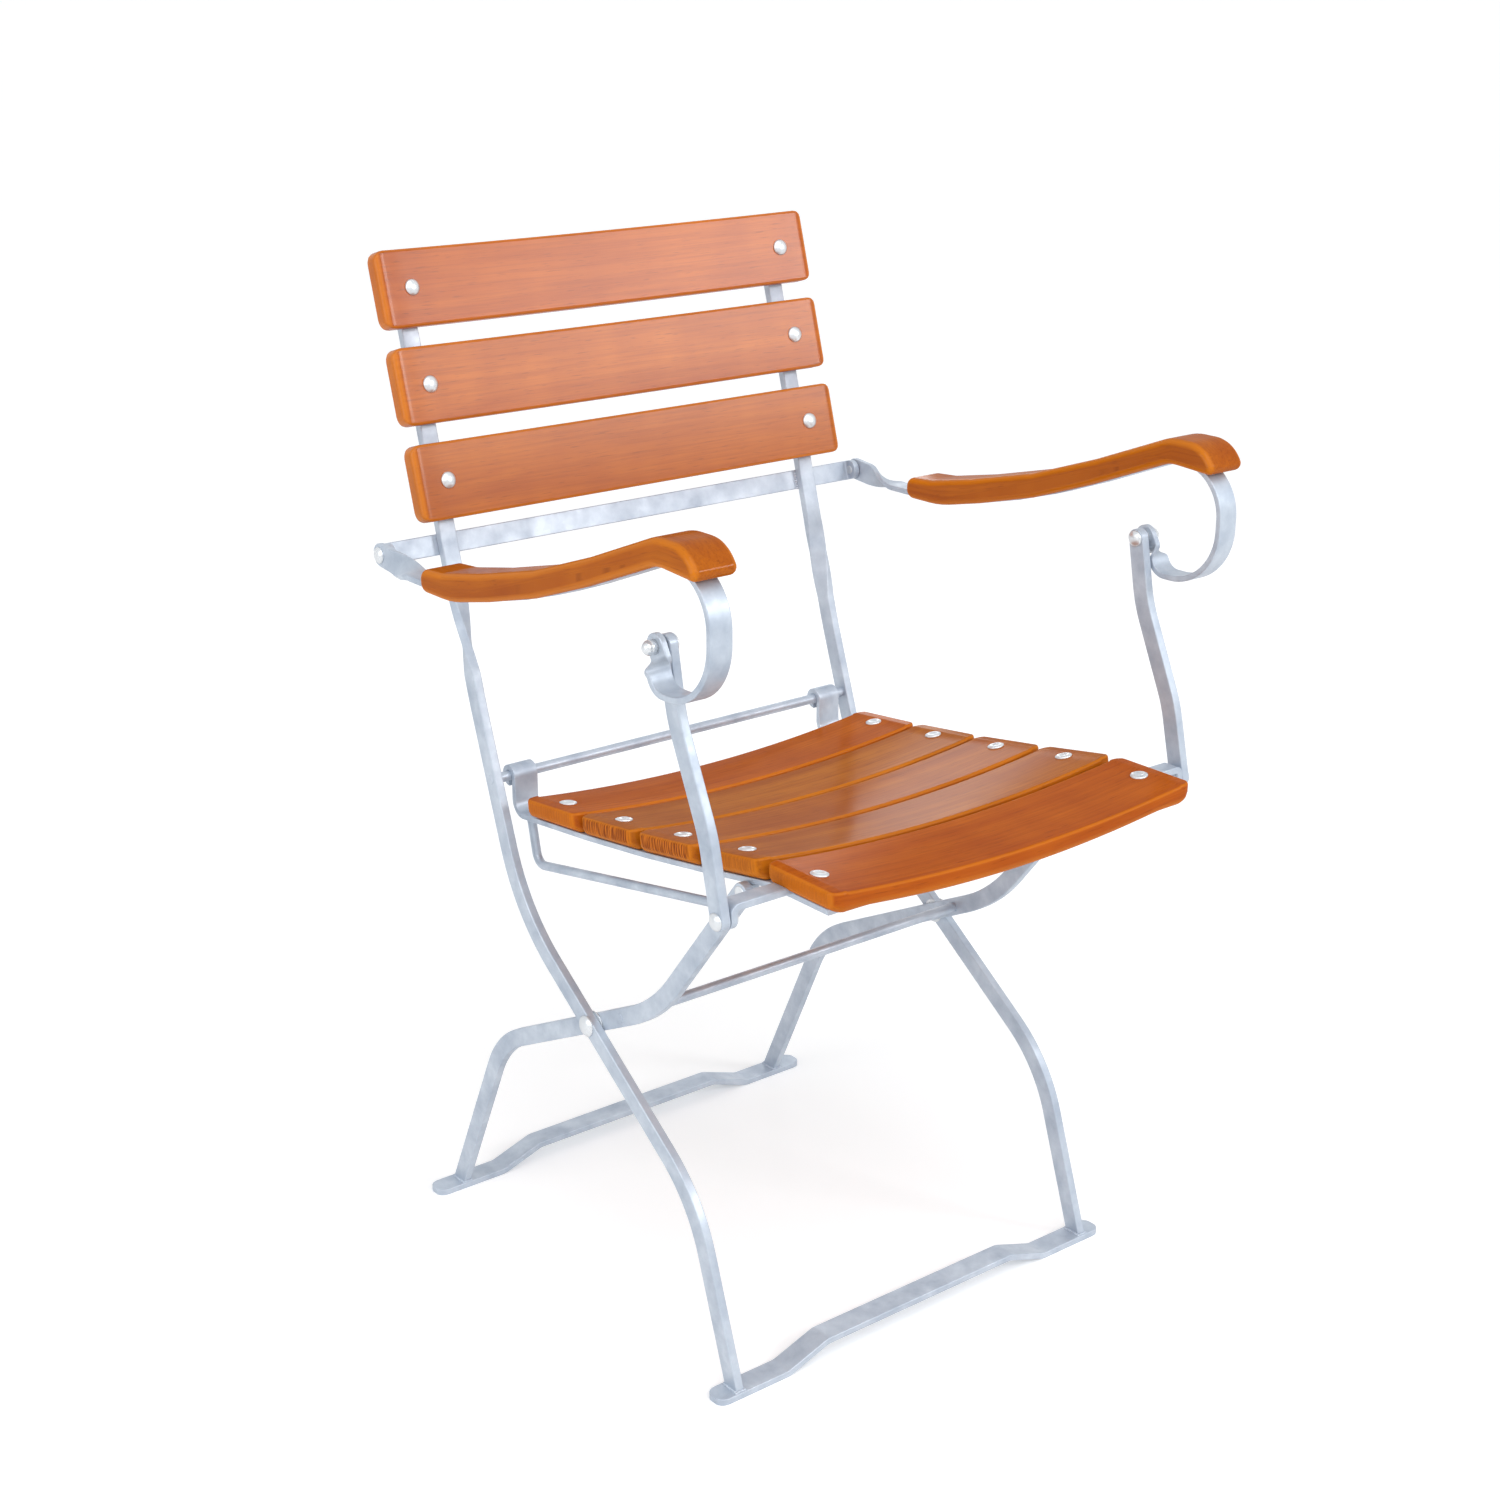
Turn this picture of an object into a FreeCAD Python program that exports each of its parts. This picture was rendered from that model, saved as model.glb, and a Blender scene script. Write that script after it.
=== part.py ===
import FreeCAD
import Part
import math
import os

# Folding garden chair of flat steel bars and wooden slats.
# Millimetres. X to the sitter's left, Y to the rear, Z up, floor at Z = 0.
# Y places in the sheet are measured from the middle seat slat.

doc = FreeCAD.newDocument("garden_chair")
sheet = doc.addObject("Spreadsheet::Sheet", "Sizes")

sizes = {
    # place of the middle seat slat in the frame
    "seat_middle_y": -79.155,
    # flat steel of the legs
    "bar_width": 16,
    "bar_thickness": 8,
    "long_bar_x": 198,
    "running_clearance": 0.05,
    "side_clearance": 0.5,
    # long bars: front leg, diagonal and back upright
    "front_foot_y": -98,
    "long_low_y": -47.6,
    "long_low_z": 156,
    "long_low_radius": 140,
    "long_high_y": 197.6,
    "long_high_z": 330,
    "long_high_radius": 175,
    "back_start_y": 257.8,
    "back_start_z": 506,
    "back_start_radius": 300,
    "back_tilt": 16,
    "twist_start": 22,
    "twist_length": 76,
    "upright_length": 370,
    # crossing of long and short bars
    "cross_y": 97.5,
    "cross_shank": 8,
    "cross_head": 19,
    "cross_head_height": 5,
    "washer_gap": 1,
    "washer_thickness": 0.8,
    "washer_width": 22,
    # short bars: rear leg and seat bearer
    "rear_foot_y": 333,
    "short_slope": 26.6,
    "short_high_run": 95,
    "short_high_radius": 170,
    "short_low_run": 171,
    "short_low_radius": 100,
    "stretcher_run": 39.7,
    "slide_pin_y": -99.5,
    "slide_pin_width": 10,
    "slide_pin_length": 8.5,
    "slide_pin_spigot": 6,
    "slide_clearance": 0.3,
    # round rods
    "rod_width": 9,
    "rod_end": 0.6,
    # foot bars
    "foot_bar_length": 440,
    "foot_bar_width": 22,
    "foot_bar_thickness": 6,
    "foot_bar_rise": 14,
    "foot_ramp_outer": 148,
    "foot_ramp_inner": 106,
    "foot_bend_radius": 18,
    "foot_end_radius": 9,
    # back slats and the crossbar behind the uprights
    "back_slat_length": 458,
    "back_slat_height": 65,
    "back_slat_thickness": 16,
    "back_slat_corner": 9,
    "back_slat_edge": 4,
    "back_slat_dish": 10,
    "upright_top_margin": 19.1,
    "back_slat_pitch": 81.2,
    "crossbar_height": 18,
    "crossbar_thickness": 6,
    "crossbar_bend": 2,
    "lug_end_radius": 8,
    # seat
    "hinge_z": 440,
    "side_bar_width": 24,
    "side_bar_thickness": 5,
    "side_bar_gap": 1.5,
    "side_bar_front_y": -192,
    "side_bar_bend": 40,
    "side_bar_heel": 12,
    "seat_slat_width": 76,
    "front_slat_width": 81,
    "seat_slat_thickness": 17,
    "seat_slat_dish": 12,
    "seat_slat_gap": 2,
    "seat_slat_corner": 8,
    "seat_slat_edge": 4,
    "front_slat_edge": 7,
    "slat_landing": 6,
    "seat_1_y": 162,
    "seat_1_z": 433.07,
    "seat_1_tilt": 5.92,
    "seat_2_y": 80.7,
    "seat_2_tilt": 7.26,
    "seat_3_y": 0,
    "seat_3_tilt": 8.81,
    "seat_4_y": -82,
    "seat_4_tilt": 9.74,
    "seat_5_y": -168,
    "seat_5_tilt": 0,
    # guide loops of round rod under the side bars
    "guide_width": 8,
    "guide_rear_y": 220,
    "guide_corner_y": 210.5,
    "guide_corner_z": 362,
    "guide_front_y": -45,
    "guide_front_z": 410,
    "guide_radius": 11,
    # arms and their supports
    "arm_rise_y": 60.5,
    "arm_rise_z": 197,
    "support_foot_y": -145.5,
    "support_foot_z": 450,
    "support_low_y": -131.5,
    "support_low_z": 511.5,
    "support_high_y": -95,
    "support_high_z": 592.5,
    "support_radius": 120,
    "support_x": 247,
    "bracket_thickness": 6,
    "bracket_bend": 2,
    "bracket_end_radius": 7.5,
    "arm_x": 262,
    "arm_strip_width": 20,
    "arm_strip_thickness": 5,
    "arm_rear_y": 236,
    "arm_drop": 8.5,
    "arm_heel_y": 160,
    "arm_heel_radius": 120,
    "arm_middle_y": 40,
    "arm_middle_rise": 27,
    "arm_middle_radius": 900,
    "arm_crest_y": -115,
    "arm_crest_rise": 88,
    "arm_crest_radius": 38,
    "scroll_front_y": -163.3,
    "scroll_bottom_drop": 8.5,
    "scroll_top_radius": 40,
    "scroll_bottom_radius": 47,
    "scroll_tail_y": -101.4,
    "scroll_tail_radius": 13,
    "scroll_tail_length": 10,
    "arm_twist_length": 44,
    "scroll_twist_length": 13.5,
    "eye_standoff": 3,
    "armrest_width": 40,
    "armrest_thickness": 21.5,
    "armrest_edge": 4,
    "armrest_nose_y": -168.5,
    "armrest_nose_drop": 3.5,
    "armrest_brow_y": -152,
    "armrest_brow_radius": 30,
    "armrest_crest_radius": 45,
    "armrest_shoulder_y": 172,
    "armrest_tail_y": 204,
    "armrest_tail_height": 19,
    "armrest_tail_radius": 8.5,
    # rivets
    "rivet_head": 14,
    "rivet_head_height": 4,
    "seat_head_height": 2.5,
    "pivot_shank": 7,
    "pivot_head": 14,
    "pivot_head_height": 4,
    "arm_cap_height": 11,
    "arm_collar": 12,
}

for row, (alias, number) in enumerate(sizes.items(), 1):
    sheet.set("A%d" % row, alias)
    sheet.set("B%d" % row, str(number))
    sheet.setAlias("B%d" % row, alias)
doc.recompute()


def size(alias):
    return float(sheet.get(alias))


def point(u, v):
    return FreeCAD.Vector(u, v, 0)


# Outlines: paths of lines and arcs from corner points with bend radii


def unit(vector):
    return vector.multiply(1.0 / vector.Length)


def left_of(direction):
    return FreeCAD.Vector(-direction.y, direction.x, 0)


def meeting(start, along, other, other_along):
    gap = other.sub(start)
    turn = along.x * other_along.y - along.y * other_along.x
    return start.add(along * ((gap.x * other_along.y - gap.y * other_along.x) / turn))


def bent_path(corners, closed=False):
    count = len(corners)
    spots = [point(c[0], c[1]) for c in corners]
    starts = list(spots)
    ends = list(spots)
    arcs = [None] * count
    for i in range(count):
        bend = corners[i][2] if len(corners[i]) > 2 else 0
        if bend == 0 or (not closed and i in (0, count - 1)):
            continue
        before = unit(spots[i].sub(spots[i - 1]))
        after = unit(spots[(i + 1) % count].sub(spots[i]))
        turn = math.atan2(before.x * after.y - before.y * after.x, before.dot(after))
        reach = bend * math.tan(abs(turn) / 2)
        starts[i] = spots[i].sub(before * reach)
        ends[i] = spots[i].add(after * reach)
        side = 1 if turn > 0 else -1
        arcs[i] = (starts[i].add(left_of(before) * (bend * side)), side)
    path = []
    for i in range(count):
        if arcs[i]:
            path.append((starts[i], ends[i], arcs[i][0], arcs[i][1]))
        follow = (i + 1) % count
        if (closed or i < count - 1) and starts[follow].sub(ends[i]).Length > 0.01:
            path.append((ends[i], starts[follow], None, 0))
    return path


def normals(piece):
    start, end, centre, side = piece
    if centre is None:
        across = left_of(unit(end.sub(start)))
        return across, across
    return unit(centre.sub(start)) * side, unit(centre.sub(end)) * side


def shifted(path, distance):
    moved = []
    for piece in path:
        first, last = normals(piece)
        moved.append((piece[0].add(first * distance), piece[1].add(last * distance), piece[2], piece[3]))
    return moved


def curves(path):
    made = []
    for start, end, centre, side in path:
        if centre is None:
            made.append(Part.LineSegment(start, end))
        else:
            toward = unit(start.add(end).multiply(0.5).sub(centre))
            made.append(Part.Arc(start, centre.add(toward * start.distanceToPoint(centre)), end))
    return made


def reversed_path(path):
    return [(end, start, centre, -side) for start, end, centre, side in reversed(path)]


def levelled(path, level):
    start, end, centre, side = path[0]
    along = unit(end.sub(start))
    return [(start.add(along * ((level - start.y) / along.y)), end, centre, side)] + path[1:]


def round_cap(start, end, outward):
    middle = start.add(end).multiply(0.5).add(outward * (start.distanceToPoint(end) / 2))
    return Part.Arc(start, middle, end)


def band(path, left, right, level=None, round_start=False, round_end=False):
    near = shifted(path, left)
    far = shifted(path, right)
    if level is not None:
        near = levelled(near, level)
        far = levelled(far, level)
    out = curves(near)
    ahead = left_of(normals(path[-1])[1]) * -1
    behind = left_of(normals(path[0])[0])
    end_pair = (near[-1][1], far[-1][1])
    start_pair = (far[0][0], near[0][0])
    out.append(round_cap(*end_pair, ahead) if round_end else Part.LineSegment(*end_pair))
    out += curves(reversed_path(far))
    out.append(round_cap(*start_pair, behind) if round_start else Part.LineSegment(*start_pair))
    return out


def ring(centre, width):
    return Part.Circle(centre, FreeCAD.Vector(0, 0, 1), width / 2)


# Parametric bodies


def new_body(label):
    item = doc.addObject("PartDesign::Body", label)
    item.Label = label
    return item


def drawn(item, role, outline, offset=None):
    drawing = item.newObject("Sketcher::SketchObject", item.Name + "_outline")
    plane = [feature for feature in item.Origin.OriginFeatures if feature.Role == role][0]
    drawing.AttachmentSupport = (plane, [""])
    drawing.MapMode = "FlatFace"
    if offset:
        drawing.AttachmentOffset = offset
    for curve in outline:
        drawing.addGeometry(curve, False)
    return drawing


def padded(item, drawing, length, symmetric=True):
    feature = item.newObject("PartDesign::Pad", item.Name + "_pad")
    feature.Profile = drawing
    feature.setExpression("Length", length)
    if symmetric:
        feature.SideType = "Symmetric"
    doc.recompute()
    return feature


def pocketed(item, drawing, length):
    feature = item.newObject("PartDesign::Pocket", item.Name + "_hole")
    feature.Profile = drawing
    feature.SideType = "Symmetric"
    feature.setExpression("Length", length)
    doc.recompute()
    return feature


def filleted(item, base, radius, chosen):
    names = ["Edge%d" % n for n, edge in enumerate(base.Shape.Edges, 1) if chosen(edge)]
    feature = item.newObject("PartDesign::Fillet", item.Name + "_round")
    feature.Base = (base, names)
    feature.setExpression("Radius", radius)
    doc.recompute()
    return feature


def eased_edges(item, base, width, chosen):
    names = ["Edge%d" % n for n, edge in enumerate(base.Shape.Edges, 1) if chosen(edge)]
    feature = item.newObject("PartDesign::Chamfer", item.Name + "_eased")
    feature.Base = (base, names)
    feature.setExpression("Size", width)
    doc.recompute()
    return feature


def polygon(points):
    spots = [point(*p) for p in points]
    return [Part.LineSegment(a, b) for a, b in zip(spots, spots[1:] + spots[:1])]


def placed(item, x="0", y="0", z="0", tilt=0):
    item.Placement = FreeCAD.Placement(FreeCAD.Vector(), FreeCAD.Rotation(FreeCAD.Vector(1, 0, 0), tilt))
    item.setExpression("Placement.Base.x", x)
    item.setExpression("Placement.Base.y", "Sizes.seat_middle_y + " + y)
    item.setExpression("Placement.Base.z", z)


def shaped(label, shape):
    item = doc.addObject("Part::Feature", label)
    item.Label = label
    item.Shape = Part.makeCompound([shape]) if shape.ShapeType == "Solid" else shape
    placed(item)
    return item


# Solids made with functions: twisted strips and rivets

SIDE_VIEW = FreeCAD.Placement(FreeCAD.Vector(), FreeCAD.Rotation(0.5, 0.5, 0.5, 0.5))


def slab(outline, x, thickness):
    face = Part.Face(Part.Wire(Part.__sortEdges__([curve.toShape() for curve in outline])))
    face.Placement = SIDE_VIEW
    solid = face.extrude(FreeCAD.Vector(thickness, 0, 0))
    solid.translate(FreeCAD.Vector(x - thickness / 2, 0, 0))
    return solid


def side_point(x, spot):
    return FreeCAD.Vector(x, spot.x, spot.y)


def twisted(stations, width, thickness):
    sections = []
    for centre, along, turn in stations:
        upward = along.cross(FreeCAD.Vector(1, 0, 0))
        across = FreeCAD.Vector(math.cos(turn), 0, 0).add(upward * math.sin(turn))
        flat = along.cross(across)
        corners = []
        for a, b in ((1, 1), (-1, 1), (-1, -1), (1, -1)):
            corners.append(centre.add(across * (a * width / 2)).add(flat * (b * thickness / 2)))
        sections.append(Part.makePolygon(corners + corners[:1]))
    return Part.makeLoft(sections, True, True)


def drilled(solid, centre, along, width, length):
    along = unit(FreeCAD.Vector(along))
    return solid.cut(Part.makeCylinder(width / 2, length, centre.sub(along * (length / 2)), along))


def rivet_head(seat, outward, width, height):
    return Part.makeCone(width / 2, width * 0.3, height, seat, outward)


def dished_head(side, x, spot, up, half, dish, height):
    slope = x * 2 * dish / (half * half + dish * dish)
    outward = unit(side_point(-side * slope, up))
    seat = side_point(side * x, spot).add(outward * size("running_clearance"))
    return rivet_head(seat, outward, size("rivet_head"), height)


def pivot_rivet(seat, outward, grip, shank, width, height):
    pin = Part.makeCylinder(shank / 2, grip, seat.sub(outward * grip), outward)
    return pin.fuse(rivet_head(seat, outward, width, height)).removeSplitter()


SIDES = (("left", 1), ("right", -1))
ACROSS = FreeCAD.Vector(1, 0, 0)
half_bar = size("bar_width") / 2
bar_thick = size("bar_thickness")
clear = size("running_clearance")
foot_top = size("foot_bar_thickness")

# Places shared by several pieces

long_x = size("long_bar_x")
long_inner = long_x - bar_thick / 2
long_outer = long_x + bar_thick / 2
short_outer = long_inner - size("washer_gap")
short_inner = short_outer - bar_thick
side_bar_x = short_inner - size("side_bar_gap") - size("side_bar_width") / 2
short_x_rule = "(Sizes.long_bar_x - Sizes.bar_thickness - Sizes.washer_gap)"
short_inner_rule = "(%s - Sizes.bar_thickness / 2)" % short_x_rule
side_bar_x_rule = "(%s - Sizes.side_bar_gap - Sizes.side_bar_width / 2)" % short_inner_rule

long_low = point(size("long_low_y"), size("long_low_z"))
long_high = point(size("long_high_y"), size("long_high_z"))
back_start = point(size("back_start_y"), size("back_start_z"))
rake = math.radians(size("back_tilt"))
back_up = point(math.sin(rake), math.cos(rake))
back_front = point(-math.cos(rake), math.sin(rake))


def between(low, high, share):
    return low.add(high.sub(low) * share)


cross = between(long_low, long_high, (size("cross_y") - long_low.x) / (long_high.x - long_low.x))
hinge = between(long_high, back_start, (size("hinge_z") - long_high.y) / (back_start.y - long_high.y))
arm_rise = point(size("arm_rise_y"), size("arm_rise_z"))
arm_pivot = hinge.add(arm_rise)
support_foot = point(size("support_foot_y"), size("support_foot_z"))
support_top = support_foot.add(arm_rise)

# Seat slats: place, tilt and the line of the side bar's top under each


def slat_width(number):
    return size("front_slat_width") if number == SEAT_NUMBERS[-1] else size("seat_slat_width")


def seat_slat_lines():
    lines = []
    height = size("seat_1_z")
    for number in SEAT_NUMBERS:
        tilt = math.radians(size("seat_%d_tilt" % number))
        along = point(-math.cos(tilt), math.sin(tilt))
        up = point(math.sin(tilt), math.cos(tilt))
        y = size("seat_%d_y" % number)
        reach = along * (slat_width(number) / 2)
        if lines:
            gap_y = (rear_edge_y + y - reach.x) / 2
            height += (rear_y - gap_y) * rear_rise + (gap_y - y) * math.tan(tilt)
        rear_y = y
        rear_rise = math.tan(tilt)
        rear_edge_y = y + reach.x
        lines.append((point(y, height), along, up))
    return lines


SEAT_NUMBERS = (1, 2, 3, 4, 5)
slat_lines = seat_slat_lines()


def side_bar_path(depth):
    under = [(top.sub(up * depth), along) for top, along, up in slat_lines]
    corners = []
    for (spot, along), (other, other_along) in zip(under, under[1:]):
        corners.append(meeting(spot, along, other, other_along))
    spot, along = under[-1]
    front = spot.add(along * ((size("side_bar_front_y") - spot.x) / along.x))
    return under[0], corners, front


bar_middle = size("seat_slat_thickness") + size("side_bar_thickness") / 2
bar_bottom = size("seat_slat_thickness") + size("side_bar_thickness")

# Slide pin: just under the side bar, below the fourth slat
pin_top, pin_along, pin_up = slat_lines[3]
pin_line = pin_top.sub(pin_up * (bar_bottom + size("slide_clearance") + size("slide_pin_width") / 2))
slide_pin = pin_line.add(pin_along * ((size("slide_pin_y") - pin_line.x) / pin_along.x))

slope = math.radians(size("short_slope"))
short_front = point(-math.cos(slope), math.sin(slope))
stretcher = cross.add(short_front * size("stretcher_run"))

# Long bars


def long_bar(side):
    bend = bent_path([
        (size("front_foot_y"), foot_top),
        (long_low.x, long_low.y, size("long_low_radius")),
        (long_high.x, long_high.y, size("long_high_radius")),
        (back_start.x, back_start.y, size("back_start_radius")),
        tuple(back_start.add(back_up * size("twist_start")))[:2],
    ])
    leg = slab(band(bend, half_bar, -half_bar, level=foot_top), side * long_x, bar_thick)
    along = side_point(0, back_up)
    stations = []
    for step in range(6):
        spot = back_start.add(back_up * (size("twist_start") + size("twist_length") * step / 5))
        stations.append((side_point(side * long_x, spot), along, side * math.radians(90 - 18 * step)))
    twist = twisted(stations, size("bar_width"), bar_thick)
    straight_start = size("twist_start") + size("twist_length")
    upright = twisted([
        (side_point(side * long_x, back_start.add(back_up * straight_start)), along, 0),
        (side_point(side * long_x, back_start.add(back_up * size("upright_length"))), along, 0),
    ], size("bar_width"), bar_thick)
    solid = leg.fuse([twist, upright]).removeSplitter()
    solid = drilled(solid, side_point(side * long_x, cross), ACROSS, size("cross_shank"), 4 * bar_thick)
    return drilled(solid, side_point(side * long_x, hinge), ACROSS, size("rod_width"), 4 * bar_thick)


back_rivet_places = []
for step in range(3):
    run = size("upright_length") - size("upright_top_margin") - size("back_slat_pitch") * (2 - step)
    back_rivet_places.append(back_start.add(back_up * run))
crossbar_run = arm_pivot.sub(back_start).dot(back_up)
crossbar_place = back_start.add(back_up * crossbar_run)

for name, side in SIDES:
    shaped("long_bar_" + name, long_bar(side))

# Short bars


def short_bar(name, side):
    low = cross.sub(short_front * size("short_low_run"))
    high = cross.add(short_front * size("short_high_run"))
    bend = bent_path([
        (size("rear_foot_y"), foot_top),
        (low.x, low.y, size("short_low_radius")),
        (high.x, high.y, size("short_high_radius")),
        (slide_pin.x, slide_pin.y),
    ])
    outline = band(bend, half_bar, -half_bar, level=foot_top, round_end=True)
    outline.append(ring(cross, size("cross_shank") + 2 * clear))
    outline.append(ring(stretcher, size("rod_width")))
    outline.append(ring(slide_pin, size("slide_pin_spigot")))
    item = new_body("short_bar_" + name)
    padded(item, drawn(item, "YZ_Plane", outline), "Sizes.bar_thickness")
    placed(item, x="%d * %s" % (side, short_x_rule))


for name, side in SIDES:
    short_bar(name, side)

# Foot bars with a raised middle


def foot_bar(label, y_rule):
    half = size("foot_bar_length") / 2
    level = size("foot_bar_thickness") / 2
    raised = level + size("foot_bar_rise")
    bend = size("foot_bend_radius")
    outer = size("foot_ramp_outer")
    inner = size("foot_ramp_inner")
    path = bent_path([
        (-half, level),
        (-outer, level, bend),
        (-inner, raised, bend),
        (inner, raised, bend),
        (outer, level, bend),
        (half, level),
    ])
    item = new_body(label)
    pad = padded(item, drawn(item, "XZ_Plane", band(path, level, -level)), "Sizes.foot_bar_width")
    filleted(item, pad, "Sizes.foot_end_radius", lambda edge: abs(edge.CenterOfMass.x) > half - level
             and abs(edge.Vertexes[0].Z - edge.Vertexes[-1].Z) > level)
    placed(item, y=y_rule)


foot_bar("front_foot_bar", "Sizes.front_foot_y")
foot_bar("rear_foot_bar", "Sizes.rear_foot_y")

# Round rods, their ends riveted over on the outer faces of the bars


def cross_rod(label, outer_rule, y_rule, z_rule):
    item = doc.addObject("Part::Cylinder", label)
    item.Label = label
    item.setExpression("Radius", "Sizes.rod_width / 2")
    item.setExpression("Height", "2 * (%s + Sizes.rod_end)" % outer_rule)
    placed(item, x="-(%s + Sizes.rod_end)" % outer_rule, y=y_rule, z=z_rule)
    item.Placement.Rotation = FreeCAD.Rotation(FreeCAD.Vector(0, 1, 0), 90)


long_outer_rule = "(Sizes.long_bar_x + Sizes.bar_thickness / 2)"
cross_rod("hinge_rod", long_outer_rule, "%.6f" % hinge.x, "Sizes.hinge_z")
short_outer_rule = "(%s + Sizes.bar_thickness / 2)" % short_x_rule
cross_rod("leg_stretcher_rod", short_outer_rule, "%.6f" % stretcher.x, "%.6f" % stretcher.y)

# Slide pins on the inner faces of the short bars


def slide_pin_solid(side):
    outward = FreeCAD.Vector(side, 0, 0)
    start = side_point(side * (short_inner - size("slide_pin_length")), slide_pin)
    stub = Part.makeCylinder(size("slide_pin_width") / 2, size("slide_pin_length"), start, outward)
    seat = side_point(side * short_inner, slide_pin)
    spigot = Part.makeCylinder(size("slide_pin_spigot") / 2, bar_thick, seat, outward)
    return stub.fuse(spigot)


shaped("slide_pins", Part.makeCompound([slide_pin_solid(side) for name, side in SIDES]))

# Rivets and washers at the crossing of the bars


def cross_rivet(side):
    seat = side_point(side * long_outer, cross)
    return pivot_rivet(seat, FreeCAD.Vector(side, 0, 0), long_outer - short_inner, size("cross_shank"),
                       size("cross_head"), size("cross_head_height"))


def cross_washer(side):
    outward = FreeCAD.Vector(-side, 0, 0)
    start = side_point(side * long_inner, cross)
    disc = Part.makeCylinder(size("washer_width") / 2, size("washer_thickness"), start, outward)
    return drilled(disc, start, ACROSS, size("cross_shank"), 4 * bar_thick)


shaped("cross_pivot_rivets", Part.makeCompound([cross_rivet(side) for name, side in SIDES]))
shaped("cross_pivot_washers", Part.makeCompound([cross_washer(side) for name, side in SIDES]))

# Wooden slats, dished across, with flat landings where they rest on the steel
# Drawn with the sitter's face up, its height zero at the rivets


def slat(label, half, dish, rest_x, rest_width, thick, width, corner, edge_width):
    dish_radius = (half * half + dish * dish) / (2 * dish)
    tip = (half * half - rest_x * rest_x) / (2 * dish_radius)
    low = -rest_x * rest_x / (2 * dish_radius)
    landing = rest_x - rest_width / 2 - size("slat_landing")
    outline = [Part.Arc(point(-half, tip), point(0, low), point(half, tip))]
    outline += curves(bent_path([(half, tip), (half, -thick), (landing, -thick)]))
    outline.append(Part.Arc(point(landing, -thick), point(0, low - thick), point(-landing, -thick)))
    outline += curves(bent_path([(-landing, -thick), (-half, -thick), (-half, tip)]))
    item = new_body(label)
    pad = padded(item, drawn(item, "XZ_Plane", outline), width)
    rounded = filleted(item, pad, corner, lambda edge: edge.BoundBox.ZLength > thick - 1
                       and abs(edge.CenterOfMass.x) > half - 1)
    eased_edges(item, rounded, edge_width, lambda edge: edge.BoundBox.ZMin > low - 1)
    return item


def back_slat(label, spot):
    thick = size("back_slat_thickness")
    item = slat(label, size("back_slat_length") / 2, size("back_slat_dish"), long_x, size("bar_width"), thick,
                "Sizes.back_slat_height", "Sizes.back_slat_corner", "Sizes.back_slat_edge")
    face = spot.add(back_front * (bar_thick / 2 + thick))
    placed(item, y="%.6f" % face.x, z="%.6f" % face.y, tilt=90 - size("back_tilt"))


for label, spot in zip(("back_slat_bottom", "back_slat_middle", "back_slat_top"), back_rivet_places):
    back_slat(label, spot)


def back_rivet(side, spot):
    front = spot.add(back_front * (bar_thick / 2 + size("back_slat_thickness")))
    return dished_head(side, long_x, front, back_front, size("back_slat_length") / 2, size("back_slat_dish"),
                       size("rivet_head_height"))


shaped("back_slat_rivets", Part.makeCompound(
    [back_rivet(side, spot) for spot in back_rivet_places for name, side in SIDES]))

# Crossbar behind the uprights, ends bent forward as lugs for the arms

lug_x = size("arm_x") - size("arm_strip_thickness") / 2 - size("side_clearance")
lug_reach = arm_pivot.sub(crossbar_place).dot(back_front)


def crossbar():
    thick = size("crossbar_thickness")
    tip = -lug_reach - size("lug_end_radius")
    middle = bar_thick / 2 + thick / 2
    bend = size("crossbar_bend") + thick / 2
    reach = lug_x - thick / 2
    path = bent_path([
        (-reach, tip),
        (-reach, middle, bend),
        (reach, middle, bend),
        (reach, tip),
    ])
    item = new_body("back_crossbar")
    pad = padded(item, drawn(item, "XY_Plane", band(path, thick / 2, -thick / 2)), "Sizes.crossbar_height")
    pivots = drawn(item, "YZ_Plane", [ring(point(-lug_reach, 0), size("pivot_shank"))])
    holes = pocketed(item, pivots, "4 * Sizes.arm_x")
    filleted(item, holes, "Sizes.lug_end_radius", lambda edge: edge.CenterOfMass.y < tip + 0.1
             and edge.BoundBox.ZLength < 0.1)
    placed(item, y="%.6f" % crossbar_place.x, z="%.6f" % crossbar_place.y, tilt=-size("back_tilt"))


crossbar()


def arm_rivet(side):
    outer = size("arm_x") + size("arm_strip_thickness") / 2 + size("side_clearance") / 2
    grip = outer - (lug_x - size("crossbar_thickness"))
    return pivot_rivet(side_point(side * outer, arm_pivot), FreeCAD.Vector(side, 0, 0), grip,
                       size("pivot_shank"), size("pivot_head"), size("pivot_head_height"))


shaped("arm_pivot_rivets", Part.makeCompound([arm_rivet(side) for name, side in SIDES]))

# Seat side bars, each with an eye round the hinge rod


def side_bar(name, side):
    half = size("side_bar_thickness") / 2
    (spot, along), corners, front = side_bar_path(bar_middle)
    curl = size("rod_width") / 2 + clear + half
    heel = meeting(spot, along, point(hinge.x - curl, 0), point(0, 1))
    bend = size("side_bar_bend")
    path = [(front.x, front.y)]
    path += [(corner.x, corner.y, bend) for corner in reversed(corners)]
    path.append((heel.x, heel.y, size("side_bar_heel")))
    path.append((hinge.x - curl, hinge.y + curl, curl))
    path.append((hinge.x + curl, hinge.y + curl, curl))
    path.append((hinge.x + curl, hinge.y - curl, curl))
    path.append((hinge.x - clear, hinge.y - curl))
    item = new_body("seat_side_bar_" + name)
    padded(item, drawn(item, "YZ_Plane", band(bent_path(path), half, -half)), "Sizes.side_bar_width")
    placed(item, x="%d * %s" % (side, side_bar_x_rule))


for name, side in SIDES:
    side_bar(name, side)

# Seat slats on the side bars, the front one notched for the brackets

slat_half = long_inner - size("seat_slat_gap")


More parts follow.
